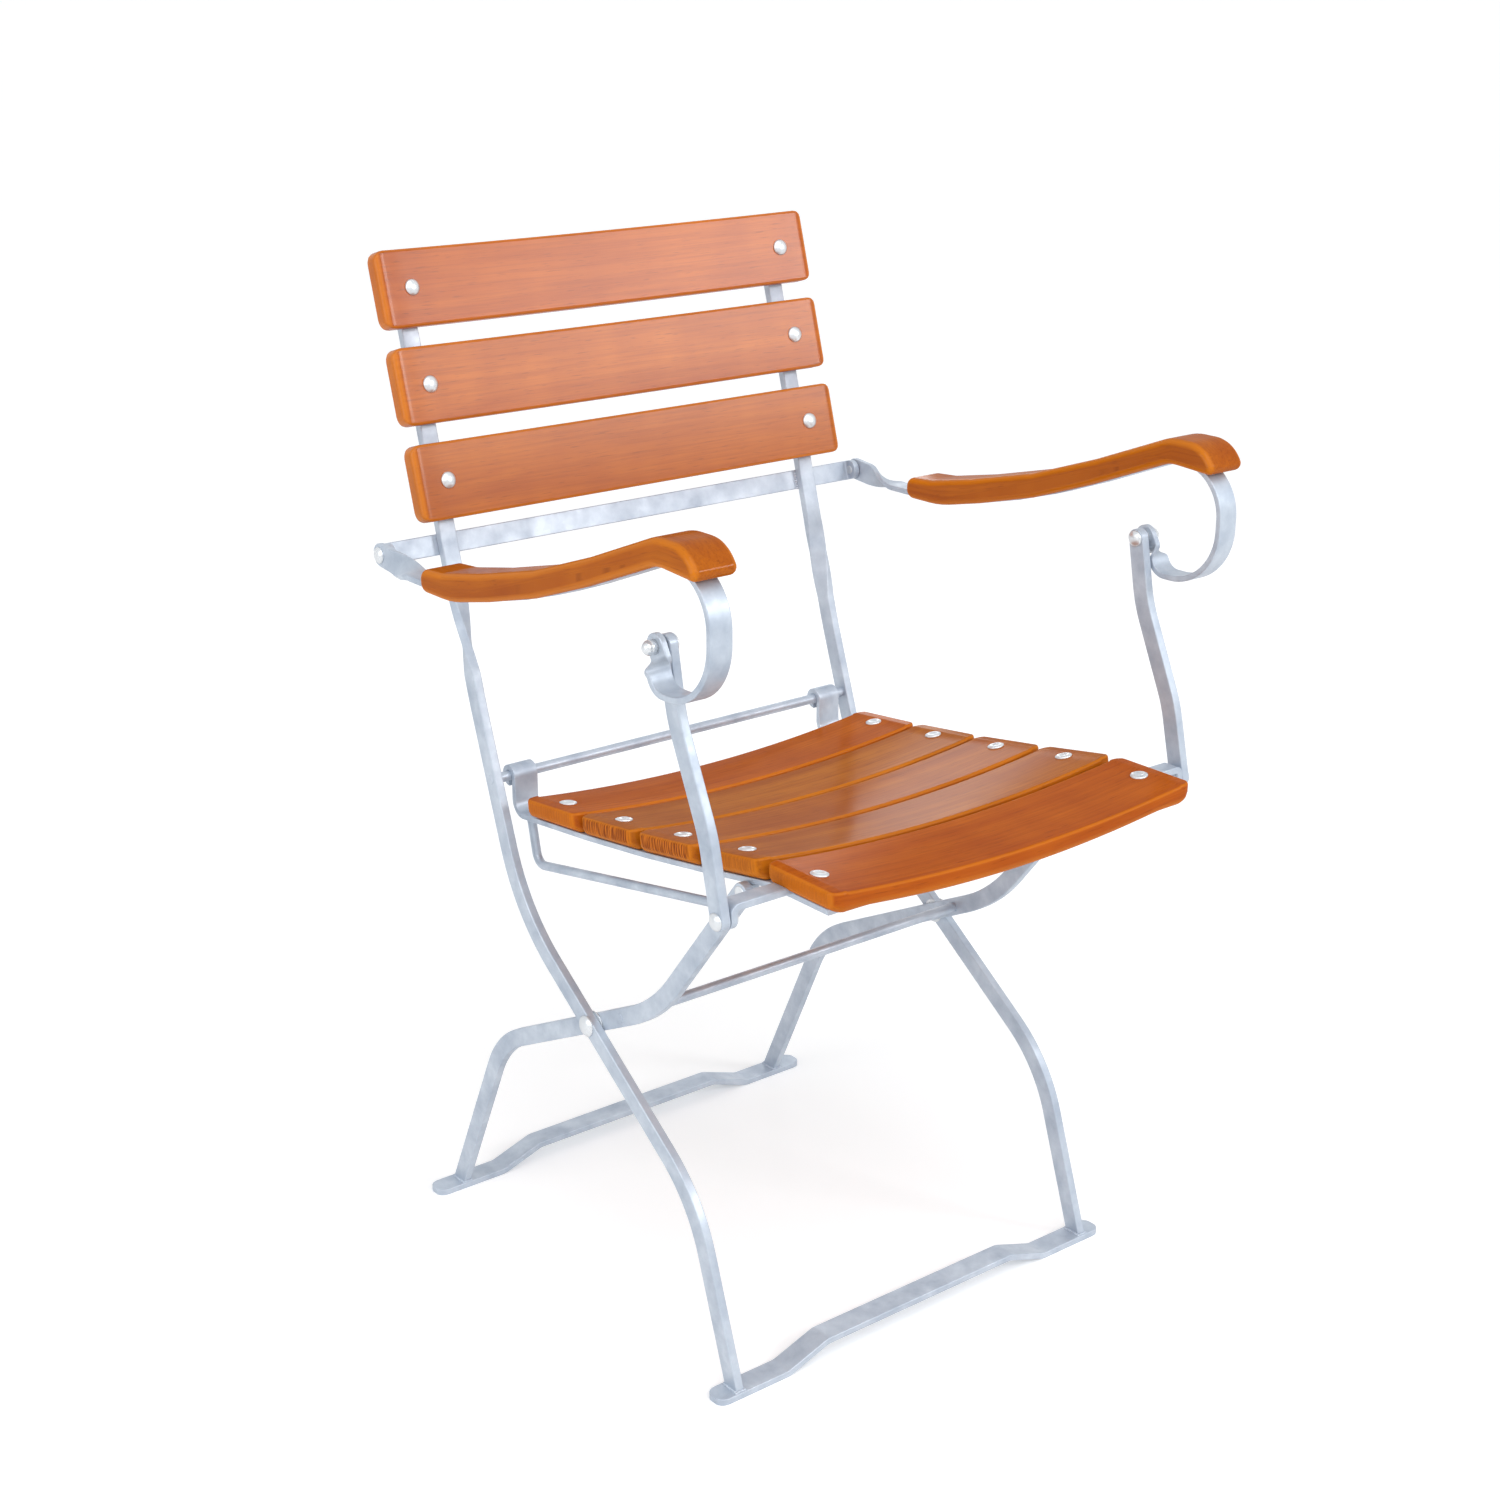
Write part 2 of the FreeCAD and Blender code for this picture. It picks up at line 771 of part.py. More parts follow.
def seat_slat(number):
    front = number == SEAT_NUMBERS[-1]
    width = "Sizes.front_slat_width" if front else "Sizes.seat_slat_width"
    edge_width = "Sizes.front_slat_edge" if front else "Sizes.seat_slat_edge"
    item = slat("seat_slat_%d" % number, slat_half, size("seat_slat_dish"), side_bar_x,
                size("side_bar_width"), size("seat_slat_thickness"), width,
                "Sizes.seat_slat_corner", edge_width)
    if front:
        bracket_notch(item)
    lean = -size("seat_%d_tilt" % number)
    placed(item, y="Sizes.seat_%d_y" % number, z="%.6f" % slat_lines[number - 1][0].y, tilt=lean)


def bracket_notch(item):
    thick = size("seat_slat_thickness")
    centre = size("support_foot_y") - size("seat_5_y")
    inner = side_bar_x - size("side_bar_width") / 2 - size("side_clearance")
    top = -thick + size("bracket_thickness") + 2 * clear
    corners = []
    for name, side in SIDES:
        corners.append(polygon([
            (side * inner, -2 * thick),
            (side * (slat_half + size("slat_landing")), -2 * thick),
            (side * (slat_half + size("slat_landing")), top),
            (side * inner, top),
        ]))
    offset = FreeCAD.Placement(FreeCAD.Vector(0, 0, -centre), FreeCAD.Rotation())
    drawing = drawn(item, "XZ_Plane", corners[0] + corners[1], offset)
    return pocketed(item, drawing, "Sizes.bar_width + 4 * Sizes.running_clearance")


for number in SEAT_NUMBERS:
    seat_slat(number)


def seat_rivet(side, line):
    top, along, up = line
    return dished_head(side, side_bar_x, top, up, slat_half, size("seat_slat_dish"), size("seat_head_height"))


shaped("seat_rivets", Part.makeCompound(
    [seat_rivet(side, line) for line in slat_lines for name, side in SIDES]))

# Guide loops of round rod under the side bars


def bar_underside(number, y):
    top, along, up = slat_lines[number - 1]
    spot = top.sub(up * bar_bottom)
    return spot.add(along * ((y - spot.x) / along.x))


def guide_loop(side):
    radius = size("guide_radius")
    rear = bar_underside(1, size("guide_rear_y"))
    front = bar_underside(4, size("guide_front_y"))
    path = bent_path([
        (rear.x, rear.y),
        (size("guide_corner_y"), size("guide_corner_z"), radius),
        (size("guide_front_y"), size("guide_front_z"), radius),
        (front.x, front.y + size("side_bar_thickness") / 2),
    ])
    spots = [path[0][0]] + [piece[1] for piece in path]
    spine = Part.makePolygon([side_point(0, spot) for spot in spots])
    start = side_point(0, path[0][0])
    along = side_point(0, path[0][1].sub(path[0][0]))
    circle = Part.Wire(Part.makeCircle(size("guide_width") / 2, start, along))
    rod = spine.makePipeShell([circle], True, False, 1)
    rod.translate(FreeCAD.Vector(side * side_bar_x, 0, 0))
    return rod


for name, side in SIDES:
    bar = doc.getObject("seat_side_bar_" + name).Shape.copy()
    bar.translate(FreeCAD.Vector(0, -size("seat_middle_y"), 0))
    shaped("guide_loop_" + name, guide_loop(side).cut(bar))

# Brackets at the front of the seat, bent down as lugs for the supports

bracket_lug_x = size("support_x") - bar_thick / 2 - size("side_clearance")
bracket_low = slat_lines[-1][0].y - size("seat_slat_thickness")


def bracket(name, side):
    thick = size("bracket_thickness")
    middle = bracket_low + thick / 2
    bend = size("bracket_bend") + thick / 2
    reach = bracket_lug_x - thick / 2
    inner = side_bar_x - size("side_bar_width") / 2
    path = bent_path([
        (side * inner, middle),
        (side * reach, middle, bend),
        (side * reach, support_foot.y - half_bar),
    ])
    item = new_body("support_bracket_" + name)
    pad = padded(item, drawn(item, "XZ_Plane", band(path, thick / 2, -thick / 2)), "Sizes.bar_width")
    pivot = drawn(item, "YZ_Plane", [ring(point(0, support_foot.y), size("pivot_shank") + 4 * clear)])
    holes = pocketed(item, pivot, "4 * Sizes.support_x")
    low = support_foot.y - half_bar
    filleted(item, holes, "Sizes.bracket_end_radius", lambda edge: edge.CenterOfMass.z < low + 0.1
             and edge.BoundBox.YLength < 0.1)
    placed(item, y="Sizes.support_foot_y")


for name, side in SIDES:
    bracket(name, side)

# Arms: strip with twisted ends and a scroll, let into the underside of a wooden rest

strip_thick = size("arm_strip_thickness")
strip_width = size("arm_strip_width")
support_outer = size("support_x") + bar_thick / 2
front_eye_x = support_outer + size("eye_standoff") + strip_thick / 2
arm_level = arm_pivot.y - size("arm_drop")
arm_crest = arm_level + size("arm_crest_rise")
scroll_bottom = arm_level - size("scroll_bottom_drop")
tail_corner = point(size("scroll_tail_y"), scroll_bottom)
tail_gap = support_top.sub(tail_corner)
tail_slant = math.atan2(tail_gap.y, tail_gap.x) + math.asin(strip_thick / 2 / tail_gap.Length)
tail_along = point(math.cos(tail_slant), math.sin(tail_slant))
tail_end = tail_corner.add(tail_along * size("scroll_tail_length"))
arm_corners = [
    (size("arm_rear_y"), arm_level),
    (size("arm_heel_y"), arm_level, size("arm_heel_radius")),
    (size("arm_middle_y"), arm_level + size("arm_middle_rise"), size("arm_middle_radius")),
    (size("arm_crest_y"), arm_crest, size("arm_crest_radius")),
    (size("scroll_front_y"), arm_crest, size("scroll_top_radius")),
    (size("scroll_front_y"), scroll_bottom, size("scroll_bottom_radius")),
    (tail_corner.x, tail_corner.y, size("scroll_tail_radius")),
    (tail_end.x, tail_end.y),
]


def eased(share):
    return share * share * (3 - 2 * share)


def eye(x, centre, toward, hole):
    along = unit(toward.sub(centre))
    path = [(toward, centre, None, 0)]
    plate = slab(band(path, strip_width / 2, -strip_width / 2, round_end=True), x, strip_thick)
    return drilled(plate, side_point(x, centre), ACROSS, hole, 8 * strip_thick), along


def arm_strip(side):
    x = side * size("arm_x")
    strip = slab(band(bent_path(arm_corners), 0, -strip_thick), x, strip_width)
    rear = point(size("arm_rear_y"), arm_level + strip_thick / 2)
    rear_turn = between(rear, arm_pivot, size("arm_twist_length") / arm_pivot.sub(rear).Length)
    plate, along = eye(x, arm_pivot, rear_turn, size("pivot_shank") + 2 * clear)
    stations = []
    for step in range(5):
        share = step / 4.0
        heading = unit(between(point(1, 0), along * -1, eased(share)))
        spot = between(rear, rear_turn, share)
        stations.append((side_point(x, spot), side_point(0, heading), side * math.radians(90 * eased(share))))
    pieces = [plate, twisted(stations, strip_width, strip_thick)]
    end_x = side * front_eye_x
    low = tail_end.sub(left_of(tail_along) * (strip_thick / 2))
    high = low.add(tail_along * size("scroll_twist_length"))
    plate, along = eye(end_x, support_top, high, size("pivot_shank"))
    stations = []
    for step in range(5):
        share = step / 4.0
        turn = math.radians(90 * eased(share))
        drawn_in = strip_width * (1 - math.cos(turn)) - strip_thick * math.sin(turn)
        inward = (end_x - x) * drawn_in / (strip_width - strip_thick)
        centre = side_point(x + inward, between(low, high, share))
        stations.append((centre, side_point(0, tail_along), side * turn))
    pieces += [plate, twisted(stations, strip_width, strip_thick)]
    return strip.fuse(pieces).removeSplitter()


def armrest(name, side):
    thick = size("armrest_thickness")
    edge_radius = 1.25 * size("armrest_edge")
    tail = size("armrest_tail_y")
    tail_radius = size("armrest_tail_radius")
    middle_y, middle_z, middle_radius = arm_corners[2]
    top = arm_crest + thick
    corners = [
        (tail, arm_level, tail_radius),
        arm_corners[1],
        arm_corners[2],
        arm_corners[3],
        (size("armrest_nose_y"), arm_crest - size("armrest_nose_drop"), edge_radius),
        (size("armrest_brow_y"), top, size("armrest_brow_radius")),
        (size("arm_crest_y"), top, size("armrest_crest_radius")),
        (middle_y, middle_z + thick, middle_radius),
        (size("armrest_shoulder_y"), arm_level + thick, 8 * edge_radius),
        (tail, arm_level + size("armrest_tail_height"), tail_radius),
    ]
    item = new_body("armrest_" + name)
    outline = curves(bent_path(corners, closed=True))
    pad = padded(item, drawn(item, "YZ_Plane", outline), "Sizes.armrest_width")
    eased_edges(item, pad, "Sizes.armrest_edge", lambda edge: edge.BoundBox.XLength < 0.1)
    groove = drawn(item, "YZ_Plane", band(bent_path(arm_corners[:6]), edge_radius, -strip_thick))
    pocketed(item, groove, "Sizes.arm_strip_width + 2 * Sizes.running_clearance")
    placed(item, x="%d * Sizes.arm_x" % side)


def support_top_rivet(side):
    outward = FreeCAD.Vector(side, 0, 0)
    outer = front_eye_x + strip_thick / 2
    grip = outer - (size("support_x") - bar_thick / 2)
    rivet = pivot_rivet(side_point(side * outer, support_top), outward, grip, size("pivot_shank"),
                        size("pivot_head"), size("arm_cap_height"))
    inner = support_outer + size("side_clearance")
    collar = Part.makeCylinder(size("arm_collar") / 2, front_eye_x - strip_thick / 2 - inner,
                               side_point(side * inner, support_top), outward)
    return rivet.fuse(collar).removeSplitter()


for name, side in SIDES:
    shaped("arm_strip_" + name, arm_strip(side))
    armrest(name, side)
    shaped("support_top_rivet_" + name, support_top_rivet(side))

# Curved supports between the seat brackets and the arms


def arm_support(name, side):
    path = bent_path([
        (support_foot.x, support_foot.y),
        (size("support_low_y"), size("support_low_z"), size("support_radius")),
        (size("support_high_y"), size("support_high_z"), size("support_radius")),
        (support_top.x, support_top.y),
    ])
    outline = band(path, half_bar, -half_bar, round_start=True, round_end=True)
    outline.append(ring(support_top, size("pivot_shank") + 2 * clear))
    outline.append(ring(support_foot, size("pivot_shank")))
    item = new_body("arm_support_" + name)
    padded(item, drawn(item, "YZ_Plane", outline), "Sizes.bar_thickness")
    placed(item, x="%d * Sizes.support_x" % side)


def support_foot_rivet(side):
    grip = support_outer - (bracket_lug_x - size("bracket_thickness"))
    return pivot_rivet(side_point(side * support_outer, support_foot), FreeCAD.Vector(side, 0, 0), grip,
                       size("pivot_shank"), size("pivot_head"), size("pivot_head_height"))


for name, side in SIDES:
    arm_support(name, side)
    shaped("support_foot_rivet_" + name, support_foot_rivet(side))

# Checks and export

doc.recompute()
for item in doc.Objects:
    if "Invalid" in item.State or "Error" in item.State:
        raise RuntimeError("feature fails: " + item.Label)

pieces = []
for item in doc.Objects:
    if item.TypeId in ("PartDesign::Body", "Part::Feature", "Part::Cylinder"):
        pieces.append(item)

os.makedirs("parts", exist_ok=True)
for item in pieces:
    if item.Shape.isNull() or not item.Shape.isValid():
        raise RuntimeError("shape is not valid: " + item.Label)
    item.Shape.exportStep("parts/" + item.Label + ".step")
    print(item.Label, len(item.Shape.Solids), round(item.Shape.Volume / 1000, 2))

whole = Part.makeCompound([item.Shape for item in pieces]).BoundBox
low = [round(value, 2) for value in (whole.XMin, whole.YMin, whole.ZMin)]
high = [round(value, 2) for value in (whole.XMax, whole.YMax, whole.ZMax)]
print("box", low, high)
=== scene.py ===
import bpy
import math
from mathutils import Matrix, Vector


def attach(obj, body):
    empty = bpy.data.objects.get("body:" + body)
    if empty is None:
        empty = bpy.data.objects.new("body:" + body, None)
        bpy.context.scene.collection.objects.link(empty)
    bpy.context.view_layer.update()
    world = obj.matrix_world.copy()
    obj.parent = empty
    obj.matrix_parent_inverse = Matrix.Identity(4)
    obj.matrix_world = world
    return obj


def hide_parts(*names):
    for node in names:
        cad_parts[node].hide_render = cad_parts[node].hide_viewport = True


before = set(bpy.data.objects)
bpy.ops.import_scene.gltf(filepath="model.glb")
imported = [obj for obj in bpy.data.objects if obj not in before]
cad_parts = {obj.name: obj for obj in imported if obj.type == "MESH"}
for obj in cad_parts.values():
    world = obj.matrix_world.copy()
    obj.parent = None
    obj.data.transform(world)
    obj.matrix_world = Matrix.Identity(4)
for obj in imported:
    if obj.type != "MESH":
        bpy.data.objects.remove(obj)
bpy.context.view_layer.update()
scene = bpy.context.scene

# Lengths are in millimetres, y from the middle seat slat, and turn into metres where a mesh is made
seatMiddle = -79.155
metre = 0.001
sides = (("Left", "left", 1), ("Right", "right", -1))
bothSides = (1, -1)
across = Vector((1, 0, 0))
backward = Vector((0, 1, 0))
tightStep = 7.5  # degrees between the points of a tight bend


def inMetres(point):
    return Vector((point.x, point.y + seatMiddle, point.z)) * metre


def turned(vector, angle):
    c, s = math.cos(angle), math.sin(angle)
    return Vector((vector.x * c - vector.y * s, vector.x * s + vector.y * c))


def leftOf(direction):
    return Vector((-direction.y, direction.x))


def meeting(start, along, other, otherAlong):
    gap = other - start
    cross = along.x * otherAlong.y - along.y * otherAlong.x
    return start + along * ((gap.x * otherAlong.y - gap.y * otherAlong.x) / cross)


# Straight runs joined by bends: a corner is two places and the radius of its bend
def bentPath(corners, closed=False, stepAngle=3.0):
    spots = [Vector(corner[:2]) for corner in corners]
    count = len(spots)
    path = []
    for i, corner in enumerate(corners):
        if not closed and i == 0:
            path.append((spots[0], (spots[1] - spots[0]).normalized()))
            continue
        before = (spots[i] - spots[i - 1]).normalized()
        if not closed and i == count - 1:
            path.append((spots[i], before))
            continue
        after = (spots[(i + 1) % count] - spots[i]).normalized()
        turn = math.atan2(before.x * after.y - before.y * after.x, before.dot(after))
        start = spots[i] - before * (corner[2] * math.tan(abs(turn) / 2))
        centre = start + leftOf(before) * math.copysign(corner[2], turn)
        steps = max(1, math.ceil(abs(math.degrees(turn)) / stepAngle))
        for k in range(steps + 1):
            angle = turn * k / steps
            path.append((centre + turned(start - centre, angle), turned(before, angle)))
    return path


def mirrored(corners):
    return [(-corner[0], *corner[1:]) for corner in reversed(corners)] + corners


def sideView(x, spot):
    return Vector((x, spot.x, spot.y))


def frontView(y, spot):
    return Vector((spot.x, y, spot.y))


# A line is a list of centre, heading and the direction of the strip's width
def sideLine(x, path):
    return [(sideView(x, spot), sideView(0, way), sideView(0, leftOf(way))) for spot, way in path]


def frontLine(y, path):
    return [(frontView(y, spot), frontView(0, way), backward) for spot, way in path]


# A rod's line needs no width
def crossLine(side, places, spot):
    return [(sideView(side * x, spot), across * side) for x in places]


def eased(share):
    return share * share * (3 - 2 * share)


# A form gathers points, faces and what the shaders read: painted highlight on rounded edges, end face and
# grain place
class Form:
    def __init__(self):
        self.points = []
        self.faces = []
        self.edge = []
        self.tip = []
        self.grain = []

    def add(self, point, edge=0.0, tip=0.0, grain=(0.0, 0.0, 0.0)):
        self.points.append(inMetres(point))
        self.edge.append(edge)
        self.tip.append(tip)
        self.grain.append([value * metre for value in grain])
        return len(self.points) - 1

    def skin(self, rings):
        size = len(rings[0])
        for low, high in zip(rings, rings[1:]):
            for k in range(size):
                n = (k + 1) % size
                self.faces.append((low[k], low[n], high[n], high[k]))
        self.faces.append(tuple(reversed(rings[0])))
        self.faces.append(tuple(rings[-1]))


edgeRule = {"cornerSteps": 3, "share": 0.95}  # an edge's rounding takes at most this share of a half size
# The 0.8 share in endRule sets how far the painted highlight reaches round an end's rounding
endRule = {"cornerSteps": 6, "edgeSteps": 3, "leastA": 0.6, "leastB": 0.4, "fallPower": 1.7, "edgeHighlight": 0.8,
           "tipStart": 0.35}


def boxRing(form, station):
    ring = []
    steps = edgeRule["cornerSteps"]
    most = min(station["halfA"] * edgeRule["share"], station["halfB"] * edgeRule["share"])
    for sa, sb, first in ((1, 1, 0), (-1, 1, 90), (-1, -1, 180), (1, -1, 270)):
        edge = min(station["top"] if sb > 0 else station["bottom"], most)
        for k in range(steps + 1):
            angle = math.radians(first + 90 * k / steps)
            u = sa * (station["halfA"] - edge) + edge * math.cos(angle)
            v = sb * (station["halfB"] - edge) + edge * math.sin(angle)
            # mark is a painted highlight, brightest along the middle of each rounded edge
            mark = 1 - abs(2 * k / steps - 1)
            point = station["centre"] + station["a"] * u + station["b"] * v
            grain = (station["along"], u, v)
            ring.append(form.add(point, max(mark, station["mark"]), station["tip"], grain))
    return ring


def endStations(last, forward, corner, endEdge):
    depth = max(corner, endEdge, 2 * last["fall"])
    cornerTurn, edgeTurn = 90 / endRule["cornerSteps"], 90 / endRule["edgeSteps"]
    places = {depth * math.sin(math.radians(cornerTurn * k)) for k in range(endRule["cornerSteps"] + 1)}
    for k in range(endRule["edgeSteps"] + 1):
        places.add(depth - endEdge + endEdge * math.sin(math.radians(edgeTurn * k)))
    made = []
    for s in sorted(places):
        station = dict(last)
        t = max(0, s - (depth - corner))
        u = max(0, s - (depth - endEdge))
        shrinkA = corner - math.sqrt(max(0, corner * corner - t * t)) if corner > 0 else 0
        shrinkB = endEdge - math.sqrt(max(0, endEdge * endEdge - u * u))
        sink = last["fall"] * (s / depth) ** endRule["fallPower"]
        station["halfA"] = max(endRule["leastA"], last["halfA"] - max(shrinkA, shrinkB))
        station["halfB"] = max(endRule["leastB"], last["halfB"] - shrinkB - sink / 2)
        station["centre"] = last["centre"] + forward * (s - depth) - last["b"] * (sink / 2)
        station["along"] = last["along"] + (s - depth) * last["sense"]
        # the end's rounding gets the same painted highlight
        station["mark"] = math.sin(math.pi * min(1, u / endEdge) * endRule["edgeHighlight"]) if u > 0 else 0
        tipShare = max(0, u / endEdge - endRule["tipStart"]) / (1 - endRule["tipStart"])
        station["tip"] = eased(tipShare) * last["ends"]
        made.append(station)
    return made


# Flat bar or board along a line, with rounded edges and ends
def strip(form, line, halfA, halfB, edge=0.9, startCorner=0, endCorner=0, endEdge=0.8, bottom=None, ends=0.0,
          fall=0.0):
    shared = {"halfA": halfA, "top": edge, "bottom": edge if bottom is None else bottom, "mark": 0.0,
              "tip": 0.0, "sense": 1, "ends": ends, "fall": fall}
    stations = []
    run = 0.0
    for n, (centre, forward, a) in enumerate(line):
        if n:
            run += (centre - line[n - 1][0]).length
        b = forward.cross(a).normalized()
        sizeB = halfB[n] if isinstance(halfB, list) else halfB
        stations.append(dict(shared, centre=centre, a=a, b=b, halfB=sizeB, along=run))
    head = endStations(dict(stations[0], sense=-1), -line[0][1], startCorner, endEdge)
    tail = endStations(stations[-1], line[-1][1], endCorner, endEdge)
    form.skin([boxRing(form, station) for station in head[::-1] + stations[1:-1] + tail])


# Round bar along a line
def rod(form, line, radius, segments=24, endEdge=0.8):
    rings = []

    def ring(centre, forward, size):
        a = across if abs(forward.dot(across)) < 0.9 else backward  # a rod that runs across has its own start
        a = (a - forward * a.dot(forward)).normalized()
        b = forward.cross(a)
        made = []
        for k in range(segments):
            angle = 2 * math.pi * k / segments
            made.append(form.add(centre + a * (size * math.cos(angle)) + b * (size * math.sin(angle))))
        rings.append(made)

    def roundedEnd(centre, forward, inward):
        for k in range(endRule["edgeSteps"] + 1):
            t = math.radians(90 / endRule["edgeSteps"] * k)
            size = radius - endEdge * (1 - math.cos(t))
            ring(centre + inward * (endEdge * (1 - math.sin(t))), forward, size)

    roundedEnd(line[0][0], line[0][1], line[0][1])
    rings.reverse()
    for centre, forward in line[1:-1]:
        ring(centre, forward, radius)
    roundedEnd(line[-1][0], line[-1][1], -line[-1][1])
    form.skin(rings)


def linked(name, data):
    obj = bpy.data.objects.new(name, data)
    scene.collection.objects.link(obj)
    return obj


def applied(obj):
    depsgraph = bpy.context.evaluated_depsgraph_get()
    evaluated = obj.evaluated_get(depsgraph)
    mesh = bpy.data.meshes.new_from_object(evaluated, preserve_all_data_layers=True, depsgraph=depsgraph)
    obj.modifiers.clear()
    obj.data = mesh
    return obj


def built(name, form):
    mesh = bpy.data.meshes.new(name)
    mesh.from_pydata(form.points, [], form.faces)
    for title, values in (("edgeMark", form.edge), ("tipMark", form.tip)):
        layer = mesh.attributes.new(title, "FLOAT", "POINT")
        layer.data.foreach_set("value", values)
    layer = mesh.attributes.new("grainPlace", "FLOAT_VECTOR", "POINT")
    layer.data.foreach_set("vector", [value for place in form.grain for value in place])
    for face in mesh.polygons:
        face.use_smooth = True
    obj = linked(name, mesh)
    weighted = obj.modifiers.new("faceNormals", "WEIGHTED_NORMAL")
    weighted.mode = "FACE_AREA"
    weighted.weight = 60  # flat faces stay flat up to their rounded edges
    return applied(obj)


def worn(obj, material, body, slot, *nodes):
    obj.data.materials.clear()
    obj.data.materials.append(material)
    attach(obj, body)
    if nodes:
        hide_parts(*nodes)
    return obj


# Nodes: an input is either a plain value or another node's socket
def fill(tree, made, inputs):
    for title, value in inputs.items():
        if hasattr(value, "node"):
            tree.links.new(value, made.inputs[title])
        else:
            made.inputs[title].default_value = value


def node(tree, kind, inputs=None, **settings):
    made = tree.nodes.new(kind)
    for title, value in settings.items():
        setattr(made, title, value)
    fill(tree, made, inputs or {})
    return made


def output(tree, kind, inputs=None, **settings):
    return node(tree, kind, inputs, **settings).outputs[0]


def maths(tree, operation, first, second, kind="ShaderNodeMath"):
    return output(tree, kind, {0: first, 1: second}, operation=operation)


def ranged(tree, value, low, high, toLow=0.0, toHigh=1.0):
    inputs = {"Value": value, "From Min": low, "From Max": high, "To Min": toLow, "To Max": toHigh}
    return output(tree, "ShaderNodeMapRange", inputs)


def mixed(tree, share, first, second, blend="MIX"):
    colours = [colour if hasattr(colour, "node") else (*colour, 1.0) for colour in (first, second)]
    inputs = {"Factor": share, 6: colours[0], 7: colours[1]}  # 6, 7 and 2 are the sockets for colours
    return node(tree, "ShaderNodeMix", inputs, data_type="RGBA", blend_type=blend).outputs[2]


def nodeGroup(name, kind, inputs, outputs):
    group = bpy.data.node_groups.new(name, kind)
    for way, sockets in (("INPUT", inputs), ("OUTPUT", outputs)):
        for title, socketKind in sockets:
            group.interface.new_socket(name=title, in_out=way, socket_type="NodeSocket" + socketKind)
    return group, group.nodes.new("NodeGroupInput"), group.nodes.new("NodeGroupOutput")


woodLayers = {
    "Figure": {"stretch": (2.2, 26.0, 34.0), "noise": {"Detail": 3.0, "Roughness": 0.55, "Distortion": 0.6}},
    "Fibre": {"stretch": (9.0, 420.0, 420.0), "noise": {"Detail": 2.0, "Roughness": 0.6}},
    "Pores": {"stretch": (60.0, 900.0, 900.0), "noise": {"Detail": 1.0}, "range": (0.62, 0.75)},
    "Ends": {"stretch": (0.0, 760.0, 40.0), "noise": {"Detail": 1.0, "Distortion": 0.3}},
    "Cloud": {"stretch": (17.0, 6.0, 8.0), "noise": {"Detail": 2.0, "Roughness": 0.5}},
}


def makeWoodGroup():
    inputs = [("Place", "Vector"), ("Shift", "Float")]
    outputs = [(title, "Float") for title in woodLayers]
    group, source, sink = nodeGroup("woodFigure", "ShaderNodeTree", inputs, outputs)
    place, shift = source.outputs["Place"], source.outputs["Shift"]
    moved = output(group, "ShaderNodeCombineXYZ", {"X": shift, "Y": shift})
    place = maths(group, "ADD", place, moved, "ShaderNodeVectorMath")
    for title, layer in woodLayers.items():
        stretched = maths(group, "MULTIPLY", place, layer["stretch"], "ShaderNodeVectorMath")
        value = output(group, "ShaderNodeTexNoise", dict(layer["noise"], Scale=1.0, Vector=stretched))
        if "range" in layer:
            value = ranged(group, value, *layer["range"])
        fill(group, sink, {title: value})
    return group


zincLayers = {"cloud": {"Scale": 38.0, "Detail": 4.0, "Roughness": 0.6},
              "spangle": {"Scale": 190.0, "Randomness": 1.0}, "grit": {"Scale": 900.0, "Detail": 3.0}}


def makeZincGroup():
    outputs = [("Cloud", "Float"), ("Spangle", "Float"), ("Grit", "Float")]
    group, source, sink = nodeGroup("zincSpangle", "ShaderNodeTree", [("Place", "Vector")], outputs)
    place = source.outputs["Place"]
    cloud = output(group, "ShaderNodeTexNoise", dict(zincLayers["cloud"], Vector=place))
    cells = node(group, "ShaderNodeTexVoronoi", dict(zincLayers["spangle"], Vector=place))
    tone = output(group, "ShaderNodeSeparateColor", {0: cells.outputs["Color"]})
    grit = output(group, "ShaderNodeTexNoise", dict(zincLayers["grit"], Vector=place))
    fill(group, sink, {"Cloud": cloud, "Spangle": tone, "Grit": grit})
    return group


woodGroup = makeWoodGroup()
zincGroup = makeZincGroup()


def emptyMaterial(name):
    material = bpy.data.materials.new(name)
    material.use_nodes = True
    tree = material.node_tree
    tree.nodes.clear()
    shader = node(tree, "ShaderNodeBsdfPrincipled")
    node(tree, "ShaderNodeOutputMaterial", {0: shader.outputs[0]})
    return material, tree, shader


def attribute(tree, name, socket="Fac"):
    return node(tree, "ShaderNodeAttribute", attribute_name=name).outputs[socket]


def bumped(tree, height, look):
    inputs = {"Strength": look["bump"], "Distance": look["bumpDepth"], "Height": height}
    return output(tree, "ShaderNodeBump", inputs)


# Ranges are from and to values of a noise, then the shares that these give
# edge is the colour of the painted highlight on rounded edges, edgeShare its strength
woodLook = {"light": (0.62, 0.152, 0.008), "dark": (0.43, 0.082, 0.005), "cloud": (0.37, 0.063, 0.005),
            "streak": (0.29, 0.047, 0.004), "pore": (0.17, 0.028, 0.004), "edge": (0.78, 0.24, 0.014),
            "golden": (0.88, 1.16, 1.25), "tip": (0.66, 0.180, 0.014), "tipRing": (0.18, 0.030, 0.004),
            "figureRange": (0.3, 0.72), "cloudRange": (0.35, 0.7, 0.0, 0.45),
            "streakRange": (0.42, 0.75, 0.0, 0.4), "ringRange": (0.38, 0.62), "poreShare": 0.4,
            "edgeShare": 0.55, "bump": 0.18, "bumpDepth": 0.0004, "gloss": 0.5, "glossRange": (0.3, 0.7),
            "glossSpan": 0.12, "shine": 0.0, "coat": 0.6, "coatRoughness": 0.22}
